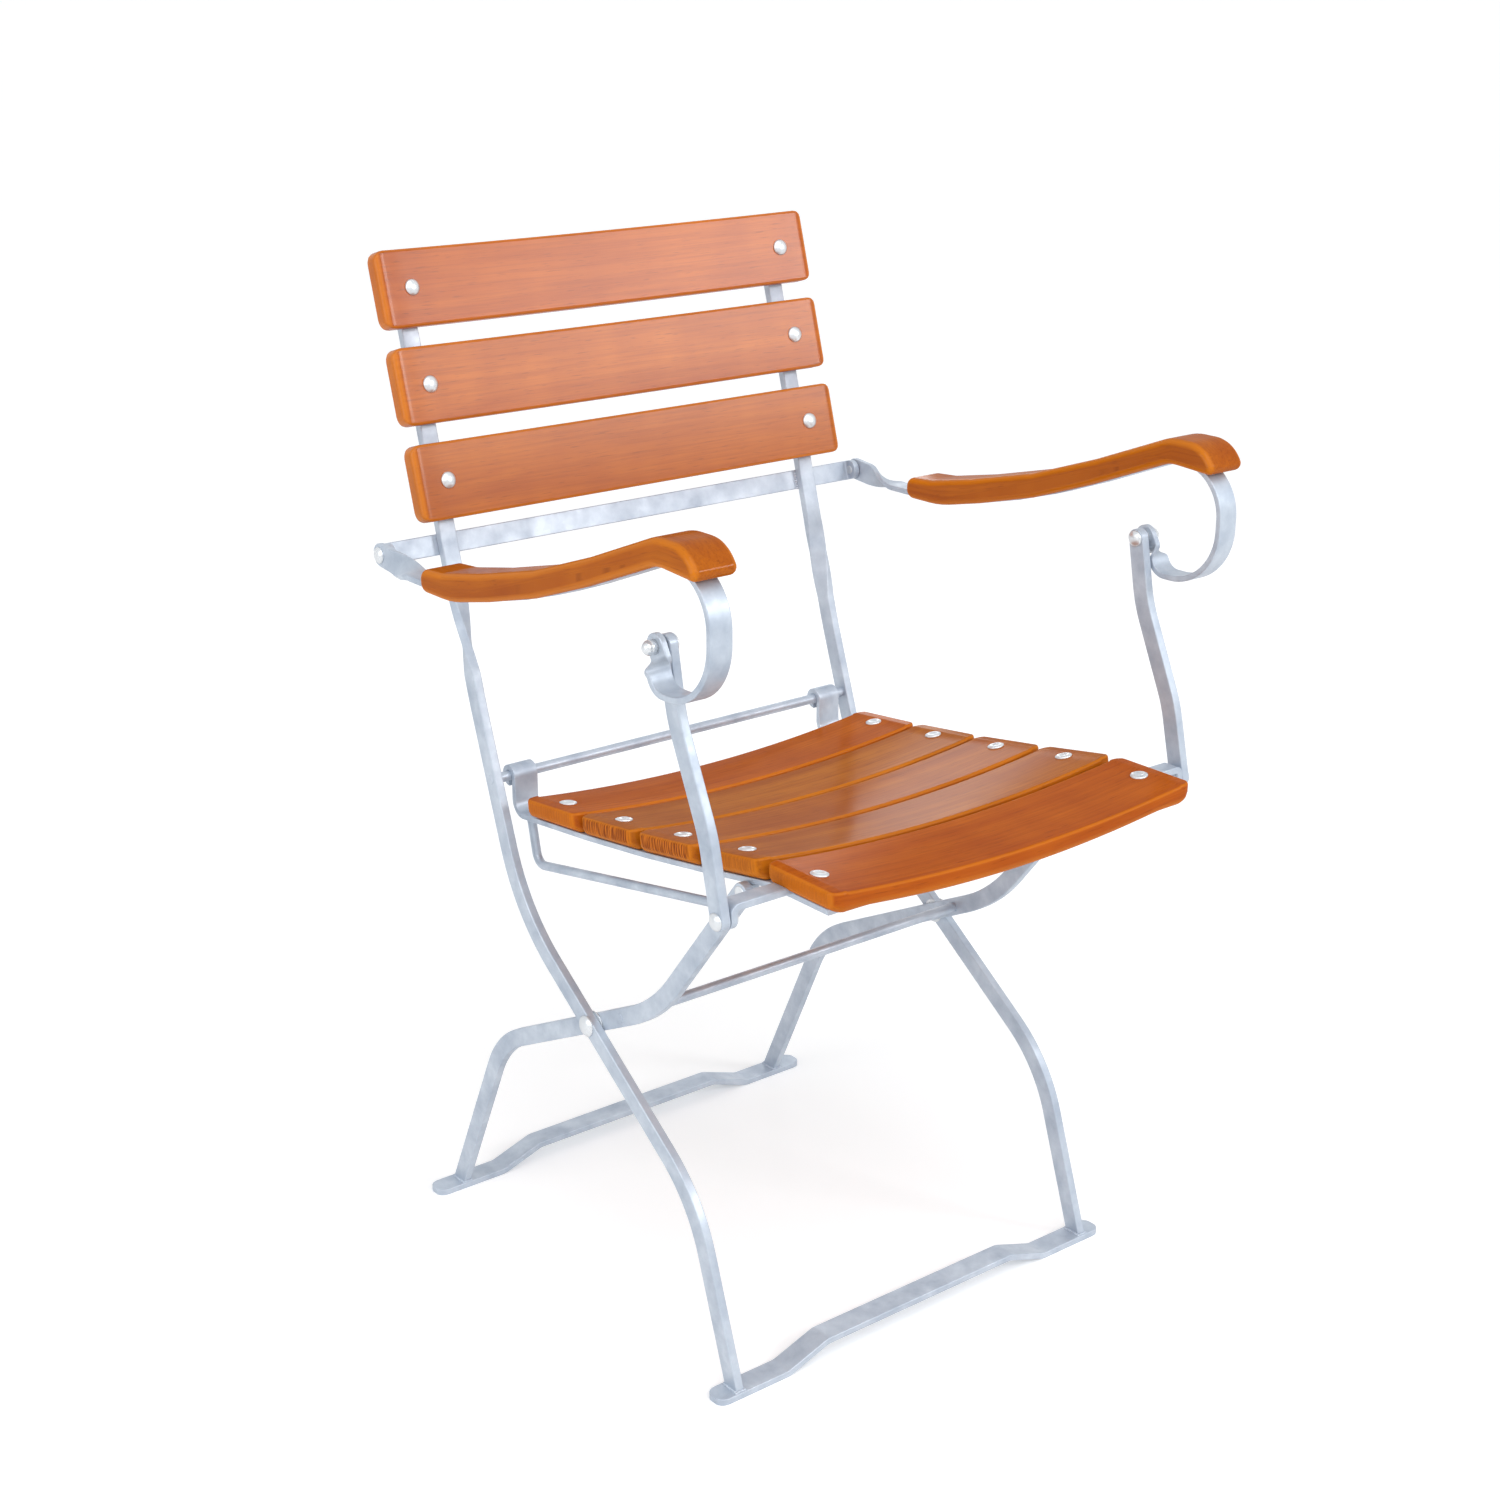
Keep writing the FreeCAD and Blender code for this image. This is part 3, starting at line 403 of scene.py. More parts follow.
zincLook = {"bright": (0.57, 0.63, 0.71), "dull": (0.39, 0.45, 0.54), "flake": (0.47, 0.53, 0.61),
            "spangle": 0.35, "metallic": 0.35, "rough": 0.42, "bump": 0.12, "bumpDepth": 0.0003,
            "cloudRange": (0.35, 0.68), "roughRange": (0.3, 0.7), "smoother": 0.07, "rougher": 0.1}
rivetLook = dict(zincLook, bright=(0.76, 0.78, 0.80), dull=(0.60, 0.63, 0.66), flake=(0.70, 0.72, 0.74),
                 spangle=0.2, metallic=0.65, rough=0.30, bump=0.06)


def woodMaterial(name, look):
    material, tree, shader = emptyMaterial(name)
    inputs = {"Place": attribute(tree, "grainPlace", "Vector"), "Shift": attribute(tree, "pieceShift")}
    layers = node(tree, "ShaderNodeGroup", inputs, node_tree=woodGroup).outputs
    body = mixed(tree, ranged(tree, layers["Figure"], *look["figureRange"]), look["light"], look["dark"])
    body = mixed(tree, ranged(tree, layers["Cloud"], *look["cloudRange"]), body, look["cloud"])
    body = mixed(tree, ranged(tree, layers["Fibre"], *look["streakRange"]), body, look["streak"])
    body = mixed(tree, maths(tree, "MULTIPLY", layers["Pores"], look["poreShare"]), body, look["pore"])
    body = mixed(tree, attribute(tree, "pieceTone"), body, look["golden"], "MULTIPLY")
    # Painted highlight: the rounded edges are lightened towards the edge colour
    edgeHighlight = maths(tree, "MULTIPLY", attribute(tree, "edgeMark"), look["edgeShare"])
    body = mixed(tree, edgeHighlight, body, look["edge"])
    rings = mixed(tree, ranged(tree, layers["Ends"], *look["ringRange"]), look["tip"], look["tipRing"])
    body = mixed(tree, attribute(tree, "tipMark"), body, rings)
    span = (look["gloss"], look["gloss"] + look["glossSpan"])
    gloss = ranged(tree, layers["Figure"], *look["glossRange"], *span)
    bump = bumped(tree, maths(tree, "SUBTRACT", layers["Fibre"], layers["Pores"]), look)
    fill(tree, shader, {"Base Color": body, "Roughness": gloss, "Normal": bump, "Coat Weight": look["coat"],
                        "Coat Roughness": look["coatRoughness"], "Specular IOR Level": look["shine"]})
    return material


def metalMaterial(name, look):
    material, tree, shader = emptyMaterial(name)
    place = node(tree, "ShaderNodeTexCoord").outputs["Object"]
    layers = node(tree, "ShaderNodeGroup", {"Place": place}, node_tree=zincGroup).outputs
    body = mixed(tree, ranged(tree, layers["Cloud"], *look["cloudRange"]), look["bright"], look["dull"])
    flake = ranged(tree, layers["Spangle"], 0.0, 1.0, 0.0, look["spangle"])
    body = mixed(tree, flake, body, look["flake"])
    span = (look["rough"] - look["smoother"], look["rough"] + look["rougher"])
    rough = ranged(tree, layers["Cloud"], *look["roughRange"], *span)
    fill(tree, shader, {"Base Color": body, "Metallic": look["metallic"], "Roughness": rough,
                        "Normal": bumped(tree, layers["Grit"], look)})
    return material


wood = woodMaterial("varnishedWood", woodLook)
armWood = woodMaterial("smoothWood", dict(woodLook, coat=0.25, coatRoughness=0.12))
seatWood = woodMaterial("wornWood", dict(woodLook, coat=0.18, coatRoughness=0.18))
zinc = metalMaterial("galvanisedSteel", zincLook)
bright = metalMaterial("brightRivets", rivetLook)
print("materials made")


def flatSteel(name, body, cadNode, line, halfA, halfB, **shape):
    form = Form()
    strip(form, line, halfA, halfB, **shape)
    worn(built(name, form), zinc, body, "galvanised_steel", cadNode)


def roundSteel(name, body, cadNode, line, radius, *shape):
    form = Form()
    rod(form, line, radius, *shape)
    worn(built(name, form), zinc, body, "galvanised_steel", cadNode)


# Places shared by several pieces
bar = {"half": 8, "halfThick": 4, "edge": 1.1, "corner": 7.9, "footSink": 2.6}
longX = 198
shortX = 189
sideBarX = 171.5
backStart = Vector((257.8, 506))
rake = math.radians(16)
backUp = Vector((math.sin(rake), math.cos(rake)))
backFront = Vector((-math.cos(rake), math.sin(rake)))
crossSpot = Vector((97.5, 258.96656))
hinge = Vector((235.225, 440))
armRise = Vector((60.5, 197))
armPivot = hinge + armRise
supportFoot = Vector((-145.5, 450))
supportTop = supportFoot + armRise
shortSlope = math.radians(26.6)
shortFront = Vector((-math.cos(shortSlope), math.sin(shortSlope)))
stretcherRun = 39.7
stretcher = crossSpot + shortFront * stretcherRun

# Seat slat lines, from the rear slat to the front one
seat = {"y": (162, 80.7, 0, -82, -168), "tilt": (5.92, 7.26, 8.81, 9.74, 0), "width": (76, 76, 76, 76, 81),
        "firstZ": 433.07, "thick": 17, "barThick": 5}


def seatLines():
    lines = []
    height = seat["firstZ"]
    rearY = rearRise = rearEdge = None
    for y, degrees, width in zip(seat["y"], seat["tilt"], seat["width"]):
        tilt = math.radians(degrees)
        along = Vector((-math.cos(tilt), math.sin(tilt)))
        reach = along.x * width / 2
        if lines:
            gap = (rearEdge + y - reach) / 2
            height += (rearY - gap) * rearRise + (gap - y) * math.tan(tilt)
        rearY, rearRise, rearEdge = y, math.tan(tilt), y + reach
        lines.append((Vector((y, height)), along, Vector((math.sin(tilt), math.cos(tilt)))))
    return lines


def atY(spot, along, y):
    return spot + along * ((y - spot.x) / along.x)


slatLines = seatLines()
barBottom = seat["thick"] + seat["barThick"]
pins = {"y": -99.5, "drop": 5.3, "body": (176.5, 180, 185.2), "radius": 5, "neck": (185, 190, 193),
        "neckRadius": 3}
pinTop, pinAlong, pinUp = slatLines[3]
slidePin = atY(pinTop - pinUp * (barBottom + pins["drop"]), pinAlong, pins["y"])

# Long bars: leg, diagonal and upright in one strip with a quarter twist
longBar = {"foot": (-98, 6), "low": (-47.6, 156, 140), "high": (197.6, 330, 175), "backRadius": 300,
           "twistStart": 22, "twistLength": 76, "twistSteps": 16, "length": 370}


def longBarLine(side):
    x = side * longX
    foot = Vector(longBar["foot"])
    foot = foot - (Vector(longBar["low"][:2]) - foot).normalized() * bar["footSink"]
    end = backStart + backUp * longBar["twistStart"]
    corners = [tuple(foot), longBar["low"], longBar["high"], (*backStart, longBar["backRadius"]), tuple(end)]
    line = [(centre, heading, wide * side) for centre, heading, wide in sideLine(x, bentPath(corners))]
    along = sideView(0, backUp)
    upward = along.cross(across)
    steps = longBar["twistSteps"]
    for k in range(1, steps + 1):
        turn = -side * math.radians(90 - 90 * k / steps)
        spot = end + backUp * (longBar["twistLength"] * k / steps)
        line.append((sideView(x, spot), along, across * math.cos(turn) + upward * math.sin(turn)))
    line.append((sideView(x, backStart + backUp * longBar["length"]), along, across))
    return line


for title, name, side in sides:
    flatSteel("longBar" + title, "back_frame", "long_bar_" + name, longBarLine(side), bar["half"],
              bar["halfThick"], edge=bar["edge"])

# Short bars: rear leg and seat bearer
shortBar = {"foot": (333, 6), "lowRun": 171, "lowRadius": 100, "highRun": 95, "highRadius": 170}
shortLow = crossSpot - shortFront * shortBar["lowRun"]
shortHigh = crossSpot + shortFront * shortBar["highRun"]
shortFoot = Vector(shortBar["foot"])
shortFoot = shortFoot - (shortLow - shortFoot).normalized() * bar["footSink"]
shortTip = slidePin + (slidePin - shortHigh).normalized() * bar["half"]
shortPath = bentPath([tuple(shortFoot), (*shortLow, shortBar["lowRadius"]),
                      (*shortHigh, shortBar["highRadius"]), tuple(shortTip)])
for title, name, side in sides:
    flatSteel("shortBar" + title, "leg_frame", "short_bar_" + name, sideLine(side * shortX, shortPath),
              bar["half"], bar["halfThick"], edge=bar["edge"], endCorner=bar["corner"])

# Foot bars with a raised middle
footBar = {"half": 220, "halfThick": 3, "raised": 17, "outer": 148, "inner": 106, "bend": 18,
           "halfWidth": 11, "corner": 9, "edge": 1.0}
feet = (("footBarFront", "front_foot_bar", "back_frame", longBar["foot"][0]),
        ("footBarRear", "rear_foot_bar", "leg_frame", shortBar["foot"][0]))
halfFoot = [(footBar["inner"], footBar["raised"], footBar["bend"]),
            (footBar["outer"], footBar["halfThick"], footBar["bend"]),
            (footBar["half"], footBar["halfThick"])]
footPath = bentPath(mirrored(halfFoot))
for name, cadNode, body, y in feet:
    flatSteel(name, body, cadNode, frontLine(y, footPath), footBar["halfWidth"], footBar["halfThick"],
              edge=footBar["edge"], startCorner=footBar["corner"], endCorner=footBar["corner"])
print("legs made")

# Round rods, slide pins and the washers where the legs cross
roundRod = {"radius": 4.5, "hingeReach": 202.6, "stretcherReach": 193.6}
rods = (("hingeRod", "hinge_rod", "back_frame", hinge, roundRod["hingeReach"]),
        ("stretcherRod", "leg_stretcher_rod", "leg_frame", stretcher, roundRod["stretcherReach"]))
for name, cadNode, body, spot, reach in rods:
    roundSteel(name, body, cadNode, crossLine(1, (-reach, 0, reach), spot), roundRod["radius"])

form = Form()
for side in bothSides:
    rod(form, crossLine(side, pins["body"], slidePin), pins["radius"])
    rod(form, crossLine(side, pins["neck"], slidePin), pins["neckRadius"])
worn(built("slidePins", form), bright, "leg_frame", "galvanised_steel", "slide_pins")

washer = {"places": (193.2, 193.6, 194), "radius": 11, "segments": 32, "endEdge": 0.2}
form = Form()
for side in bothSides:
    line = crossLine(side, washer["places"], crossSpot)
    rod(form, line, washer["radius"], washer["segments"], washer["endEdge"])
worn(built("crossWashers", form), bright, "back_frame", "bright_rivets", "cross_pivot_washers")

# Crossbar behind the uprights, its ends bent forward as lugs
crossbar = {"reach": 256, "middle": 7, "bend": 5, "halfHeight": 9, "halfThick": 3, "corner": 8,
            "pastPivot": 8}
crossbarSpot = backStart + backUp * (armPivot - backStart).dot(backUp)
lugEnd = -(armPivot - crossbarSpot).dot(backFront) - crossbar["pastPivot"]
rearward = sideView(0, -backFront)
halfCrossbar = [(crossbar["reach"], crossbar["middle"], crossbar["bend"]), (crossbar["reach"], lugEnd)]
line = []
for spot, heading in bentPath(mirrored(halfCrossbar), stepAngle=tightStep):
    centre = sideView(spot.x, crossbarSpot) + rearward * spot.y
    line.append((centre, across * heading.x + rearward * heading.y, sideView(0, backUp)))
flatSteel("backCrossbar", "back_frame", "back_crossbar", line, crossbar["halfHeight"], crossbar["halfThick"],
          startCorner=crossbar["corner"], endCorner=crossbar["corner"])
print("rods and crossbar made")

# Slats: boards bent across, landing flat on the steel
boardRule = {"steps": 16, "endRun": 15, "flatEnd": 6}


def board(form, origin, side, up, shape):
    half, dish, rest, thick, landing = (shape[key] for key in ("half", "dish", "rest", "thick", "landing"))
    radius = (half * half + dish * dish) / (2 * dish)
    low = -rest * rest / (2 * radius)
    steps = boardRule["steps"]
    line, halfB = [], []
    for k in range(-steps - 1, steps + 2):
        x = (half - boardRule["endRun"]) * k / steps if abs(k) <= steps else math.copysign(half, k)
        level = min(abs(x), half - boardRule["flatEnd"])
        top = (level * level - rest * rest) / (2 * radius)
        under = -thick if abs(x) > landing else -thick + low * (1 - (x / landing) ** 2)
        line.append((across * x + origin + up * ((top + under) / 2), across, side))
        halfB.append((top - under) / 2)
    strip(form, line, shape["width"] / 2, halfB, edge=shape["edge"], bottom=shape["under"],
          startCorner=shape["corner"], endCorner=shape["corner"], endEdge=shape["endEdge"],
          ends=shape["ends"], fall=shape["fall"])


# Each board has its own part of the wood's figure and its own tone
def shifted(obj, shift, tone):
    for title, value in (("pieceShift", shift), ("pieceTone", tone)):
        layer = obj.data.attributes.new(title, "FLOAT", "POINT")
        layer.data.foreach_set("value", [value] * len(obj.data.vertices))
    return obj


backSlat = {"half": 229, "dish": 10, "rest": longX, "thick": 16, "landing": 184, "width": 65, "edge": 4.5,
            "under": 2.5, "corner": 9, "endEdge": 5.5, "fall": 0, "ends": 0.0, "topDrop": 19.1,
            "pitch": 81.2, "shifts": (0.31, 1.68, 3.05), "tones": (0.4, 0.2, 0.0)}
backRuns = [longBar["length"] - backSlat["topDrop"] - backSlat["pitch"] * (2 - k) for k in range(3)]
backFace = backFront * (bar["halfThick"] + backSlat["thick"])
for k, name in enumerate(("Bottom", "Middle", "Top")):
    spot = backStart + backUp * backRuns[k] + backFace
    form = Form()
    board(form, sideView(0, spot), -sideView(0, backUp), sideView(0, backFront), backSlat)
    obj = shifted(built("backSlat" + name, form), backSlat["shifts"][k], backSlat["tones"][k])
    worn(obj, wood, "back_frame", "varnished_wood", "back_slat_" + name.lower())

# What has five values differs from slat to slat, from rear to front
seatSlat = {"half": 192, "dish": 12, "rest": sideBarX, "thick": seat["thick"], "landing": 153.5,
            "under": 2.5, "corner": 10, "endEdge": 3.2, "fall": 6.5, "edges": (4.5, 4.5, 4.5, 4.5, 8),
            "shifts": (5.2, 6.03, 6.86, 7.69, 8.52), "tones": (0.1, 0.9, 0.7, 0.8, 0.0),
            "endTones": (0.2, 1.0, 1.0, 0.3, 0.1)}
for k, (top, along, up) in enumerate(slatLines):
    shape = dict(seatSlat, width=seat["width"][k], edge=seatSlat["edges"][k], ends=seatSlat["endTones"][k])
    form = Form()
    board(form, sideView(0, top), sideView(0, along), sideView(0, up), shape)
    obj = shifted(built("seatSlat%d" % (k + 1), form), seatSlat["shifts"][k], seatSlat["tones"][k])
    worn(obj, seatWood, "seat_frame", "varnished_wood", "seat_slat_%d" % (k + 1))
print("slats made")

# Side bars with an eye round the hinge rod
sideBar = {"halfWidth": 12, "half": seat["barThick"] / 2, "front": -192, "bend": 40, "heel": 12,
           "eyeGap": 0.05, "edge": 0.8, "endEdge": 0.05, "eyeStep": 9}
middles = [(top - up * (seat["thick"] + sideBar["half"]), along) for top, along, up in slatLines]
corners = [meeting(*rear, *front) for rear, front in zip(middles, middles[1:])]
frontSpot = atY(*middles[-1], sideBar["front"])
curl = roundRod["radius"] + sideBar["eyeGap"] + sideBar["half"]
heel = meeting(*middles[0], Vector((hinge.x - curl, 0)), Vector((0, 1)))
barCorners = [tuple(frontSpot)] + [(c.x, c.y, sideBar["bend"]) for c in reversed(corners)]
barCorners += [(heel.x, heel.y, sideBar["heel"])]
barCorners += [(hinge.x + u * curl, hinge.y + v * curl, curl) for u, v in ((-1, 1), (1, 1), (1, -1))]
barCorners += [(hinge.x - sideBar["endEdge"], hinge.y - curl)]
barPath = bentPath(barCorners, stepAngle=sideBar["eyeStep"])
for title, name, side in sides:
    line = [(sideView(side * sideBarX, spot), sideView(0, heading), across) for spot, heading in barPath]
    flatSteel("seatSideBar" + title, "seat_frame", "seat_side_bar_" + name, line, sideBar["halfWidth"],
              sideBar["half"], edge=sideBar["edge"], endEdge=sideBar["endEdge"])

# Guide loops of round rod, from the rear slat to the fourth
guide = {"radius": 4, "bend": 11, "rear": 220, "corner": (210.5, 362), "front": (-45, 410), "frontLift": 0.6,
         "segments": 20, "endEdge": 0.3}


def underside(slat, y):
    top, along, up = slatLines[slat]
    return atY(top - up * barBottom, along, y)


rearEnd = underside(0, guide["rear"])
frontEnd = underside(3, guide["front"][0])
guidePath = bentPath([tuple(rearEnd), (*guide["corner"], guide["bend"]), (*guide["front"], guide["bend"]),
                      (frontEnd.x, frontEnd.y + guide["frontLift"])], stepAngle=tightStep)
for title, name, side in sides:
    line = [(sideView(side * sideBarX, spot), sideView(0, heading)) for spot, heading in guidePath]
    roundSteel("guideLoop" + title, "seat_frame", "guide_loop_" + name, line, guide["radius"],
               guide["segments"], guide["endEdge"])

# Brackets at the front of the seat
bracket = {"inner": 159.5, "reach": 239.5, "half": 3, "bend": 5, "halfWidth": 8, "corner": 7.5}
bracketZ = slatLines[-1][0].y - seat["thick"] + bracket["half"]
for title, name, side in sides:
    x = side * bracket["reach"]
    path = bentPath([(side * bracket["inner"], bracketZ), (x, bracketZ, bracket["bend"]),
                     (x, supportFoot.y - bar["half"])], stepAngle=tightStep)
    flatSteel("supportBracket" + title, "seat_frame", "support_bracket_" + name,
              frontLine(supportFoot.x, path), bracket["halfWidth"], bracket["half"],
              endCorner=bracket["corner"])
print("seat frame made")

# Arm strips with twisted ends and a scroll, let into the rests
arm = {"x": 262, "halfWidth": 10, "half": 2.5, "lift": 2.1, "rear": 236, "level": armPivot.y - 8.5,
       "heel": (160, 120), "middle": (40, 27, 900), "crest": (-115, 88, 38), "scrollFront": -163.3,
       "scrollTop": 40, "scrollDrop": 8.5, "scrollRadius": 47, "tail": (-101.4, 13, 10), "rearTwist": 44,
       "frontTwist": 13.5, "frontEyeX": 256.5, "rearSteps": 16, "frontSteps": 12, "bendStep": 4,
       "corner": 9.9}
crestZ = arm["level"] + arm["crest"][1]
scrollZ = arm["level"] - arm["scrollDrop"]
tailCorner = Vector((arm["tail"][0], scrollZ))
tailGap = supportTop - tailCorner
tailSlant = math.atan2(tailGap.y, tailGap.x) + math.asin(arm["half"] / tailGap.length)
tailAlong = Vector((math.cos(tailSlant), math.sin(tailSlant)))
tailEnd = tailCorner + tailAlong * arm["tail"][2]
armCorners = [
    (arm["rear"], arm["level"]),
    (arm["heel"][0], arm["level"], arm["heel"][1]),
    (arm["middle"][0], arm["level"] + arm["middle"][1], arm["middle"][2]),
    (arm["crest"][0], crestZ, arm["crest"][2]),
    (arm["scrollFront"], crestZ, arm["scrollTop"]),
    (arm["scrollFront"], scrollZ, arm["scrollRadius"]),
    (tailCorner.x, tailCorner.y, arm["tail"][1]),
    (tailEnd.x, tailEnd.y),
]


def armLine(side):
    x = side * arm["x"]
    rear = Vector((arm["rear"], arm["level"] + arm["lift"]))
    toPivot = (armPivot - rear).normalized()
    rearTurn = rear + toPivot * arm["rearTwist"]
    eyeEnd = armPivot + toPivot * arm["halfWidth"]
    line = [(sideView(x, eyeEnd), sideView(0, -toPivot), sideView(0, toPivot).cross(across) * side)]
    for k in range(arm["rearSteps"], 0, -1):  # quarter twist from the eye to the flat
        share = k / arm["rearSteps"]
        heading = (Vector((1, 0)) * (1 - eased(share)) + toPivot * eased(share)).normalized()
        turn = side * math.radians(90 * eased(share))
        wide = across * math.cos(turn) + sideView(0, heading).cross(across) * math.sin(turn)
        line.append((sideView(x, rear + (rearTurn - rear) * share), sideView(0, -heading), wide))
    for spot, heading in bentPath(armCorners, stepAngle=arm["bendStep"]):
        line.append((sideView(x, spot - leftOf(heading) * arm["lift"]), sideView(0, heading), across))
    low = tailEnd - leftOf(tailAlong) * arm["lift"]
    endX = side * arm["frontEyeX"]
    along = sideView(0, tailAlong)
    flat = along.cross(across)
    width, thick = 2 * arm["halfWidth"], 2 * arm["half"]
    for k in range(1, arm["frontSteps"] + 1):  # quarter twist to the front eye, which moves inwards
        share = k / arm["frontSteps"]
        turn = side * math.radians(90 * eased(share))
        drawnIn = width * (1 - math.cos(turn)) - thick * abs(math.sin(turn))
        eyeX = x + (endX - x) * drawnIn / (width - thick)
        centre = sideView(eyeX, low + tailAlong * (arm["frontTwist"] * share))
        line.append((centre, along, across * math.cos(turn) + flat * math.sin(turn)))
    line.append((sideView(endX, supportTop + tailAlong * arm["halfWidth"]), along, flat * side))
    return line


for title, name, side in sides:
    flatSteel("armStrip" + title, "arm_" + name, "arm_strip_" + name, armLine(side), arm["halfWidth"],
              arm["half"], startCorner=arm["corner"], endCorner=arm["corner"])

# Wooden armrests
armrest = {"thick": 21.5, "half": 20, "edge": 5.5, "edgeSteps": 5, "nose": (-168.5, -3.5, 6),
           "brow": (-152, 30), "crest": 45, "tail": (204, 19, 8.5), "shoulder": (172, 40), "bendStep": 6,
           "grainStep": 2, "grainPast": 10, "shift": 9.7, "tone": 0.5}
level = arm["level"]
crestTop = crestZ + armrest["thick"]
restCorners = [
    (armrest["tail"][0], level, armrest["tail"][2]),
    armCorners[1],
    armCorners[2],
    armCorners[3],
    (armrest["nose"][0], crestZ + armrest["nose"][1], armrest["nose"][2]),
    (armrest["brow"][0], crestTop, armrest["brow"][1]),
    (armCorners[3][0], crestTop, armrest["crest"]),
    (armCorners[2][0], armCorners[2][1] + armrest["thick"], armCorners[2][2]),
    (armrest["shoulder"][0], level + armrest["thick"], armrest["shoulder"][1]),
    (armrest["tail"][0], level + armrest["tail"][1], armrest["tail"][2]),
]
restPath = bentPath(restCorners, closed=True, stepAngle=armrest["bendStep"])
grainCorners = armCorners[:4] + [(armrest["nose"][0] - armrest["grainPast"], crestZ)]
armHeights = [spot for spot, heading in bentPath(grainCorners, stepAngle=armrest["grainStep"])]


def heightOnArm(spot):
    for rear, front in zip(armHeights, armHeights[1:]):
        if front.x <= spot.x <= rear.x:
            return spot.y - rear.y - (front.y - rear.y) * (rear.x - spot.x) / (rear.x - front.x)
    return spot.y - level


def restRing(form, middleX, s, angle):
    x = s * (armrest["half"] - armrest["edge"] + armrest["edge"] * math.sin(angle))
    inset = armrest["edge"] * (1 - math.cos(angle))
    ring = []
    for spot, heading in restPath:
        inner = spot + leftOf(heading) * (-inset)
        grain = (inner.x, x, heightOnArm(inner))
        # the middle of each rounding gets a painted highlight mark
        ring.append(form.add(sideView(middleX + x, inner), math.sin(angle * 2), 0.0, grain))
    return ring


edgeTurns = [math.radians(90 * k / armrest["edgeSteps"]) for k in range(armrest["edgeSteps"] + 1)]
for title, name, side in sides:
    form = Form()
    rings = [restRing(form, side * arm["x"], -1, angle) for angle in reversed(edgeTurns)]
    rings += [restRing(form, side * arm["x"], 1, angle) for angle in edgeTurns]
    form.skin(rings[::-1])  # the path runs clockwise, so the faces point outwards this way round
    obj = shifted(built("armrest" + title, form), armrest["shift"] + side, armrest["tone"])
    worn(obj, armWood, "arm_" + name, "varnished_wood", "armrest_" + name)

# Curved supports
support = {"x": 247, "low": (-131.5, 511.5, 120), "high": (-95, 592.5, 120)}
lowHeading = (Vector(support["low"][:2]) - supportFoot).normalized()
highHeading = (supportTop - Vector(support["high"][:2])).normalized()
supportPath = bentPath([tuple(supportFoot - lowHeading * bar["half"]), support["low"], support["high"],
                        tuple(supportTop + highHeading * bar["half"])])
for title, name, side in sides:
    flatSteel("armSupport" + title, "support_" + name, "arm_support_" + name,
              sideLine(side * support["x"], supportPath), bar["half"], bar["halfThick"], edge=bar["edge"],
              startCorner=bar["corner"], endCorner=bar["corner"])
print("arms made")


# Rivet heads and weld beads, grown on points by geometry nodes
def geometryGroup(name, inputs):
    through = [("Geometry", "Geometry")]
    return nodeGroup(name, "GeometryNodeTree", through + inputs, through)


def realised(group, source, sink, inputs):
    placed = output(group, "GeometryNodeInstanceOnPoints", inputs)
    real = output(group, "GeometryNodeRealizeInstances", {0: placed})
    smooth = output(group, "GeometryNodeSetShadeSmooth", {0: real})
    coloured = {"Geometry": smooth, "Material": source.outputs["Material"]}
    fill(group, sink, {0: output(group, "GeometryNodeSetMaterial", coloured)})


# A disc is lifted to a dome, with a dimple in its middle, and its underside is sunk a little
headRule = {"disc": {"Vertices": 28, "Side Segments": 1, "Fill Segments": 6, "Depth": 0.002},
            "domePower": 2.6, "dimpleRim": 0.62, "dimpleFloor": 0.2, "sunk": -0.0006, "smallest": 0.97,
            "largest": 1.03}


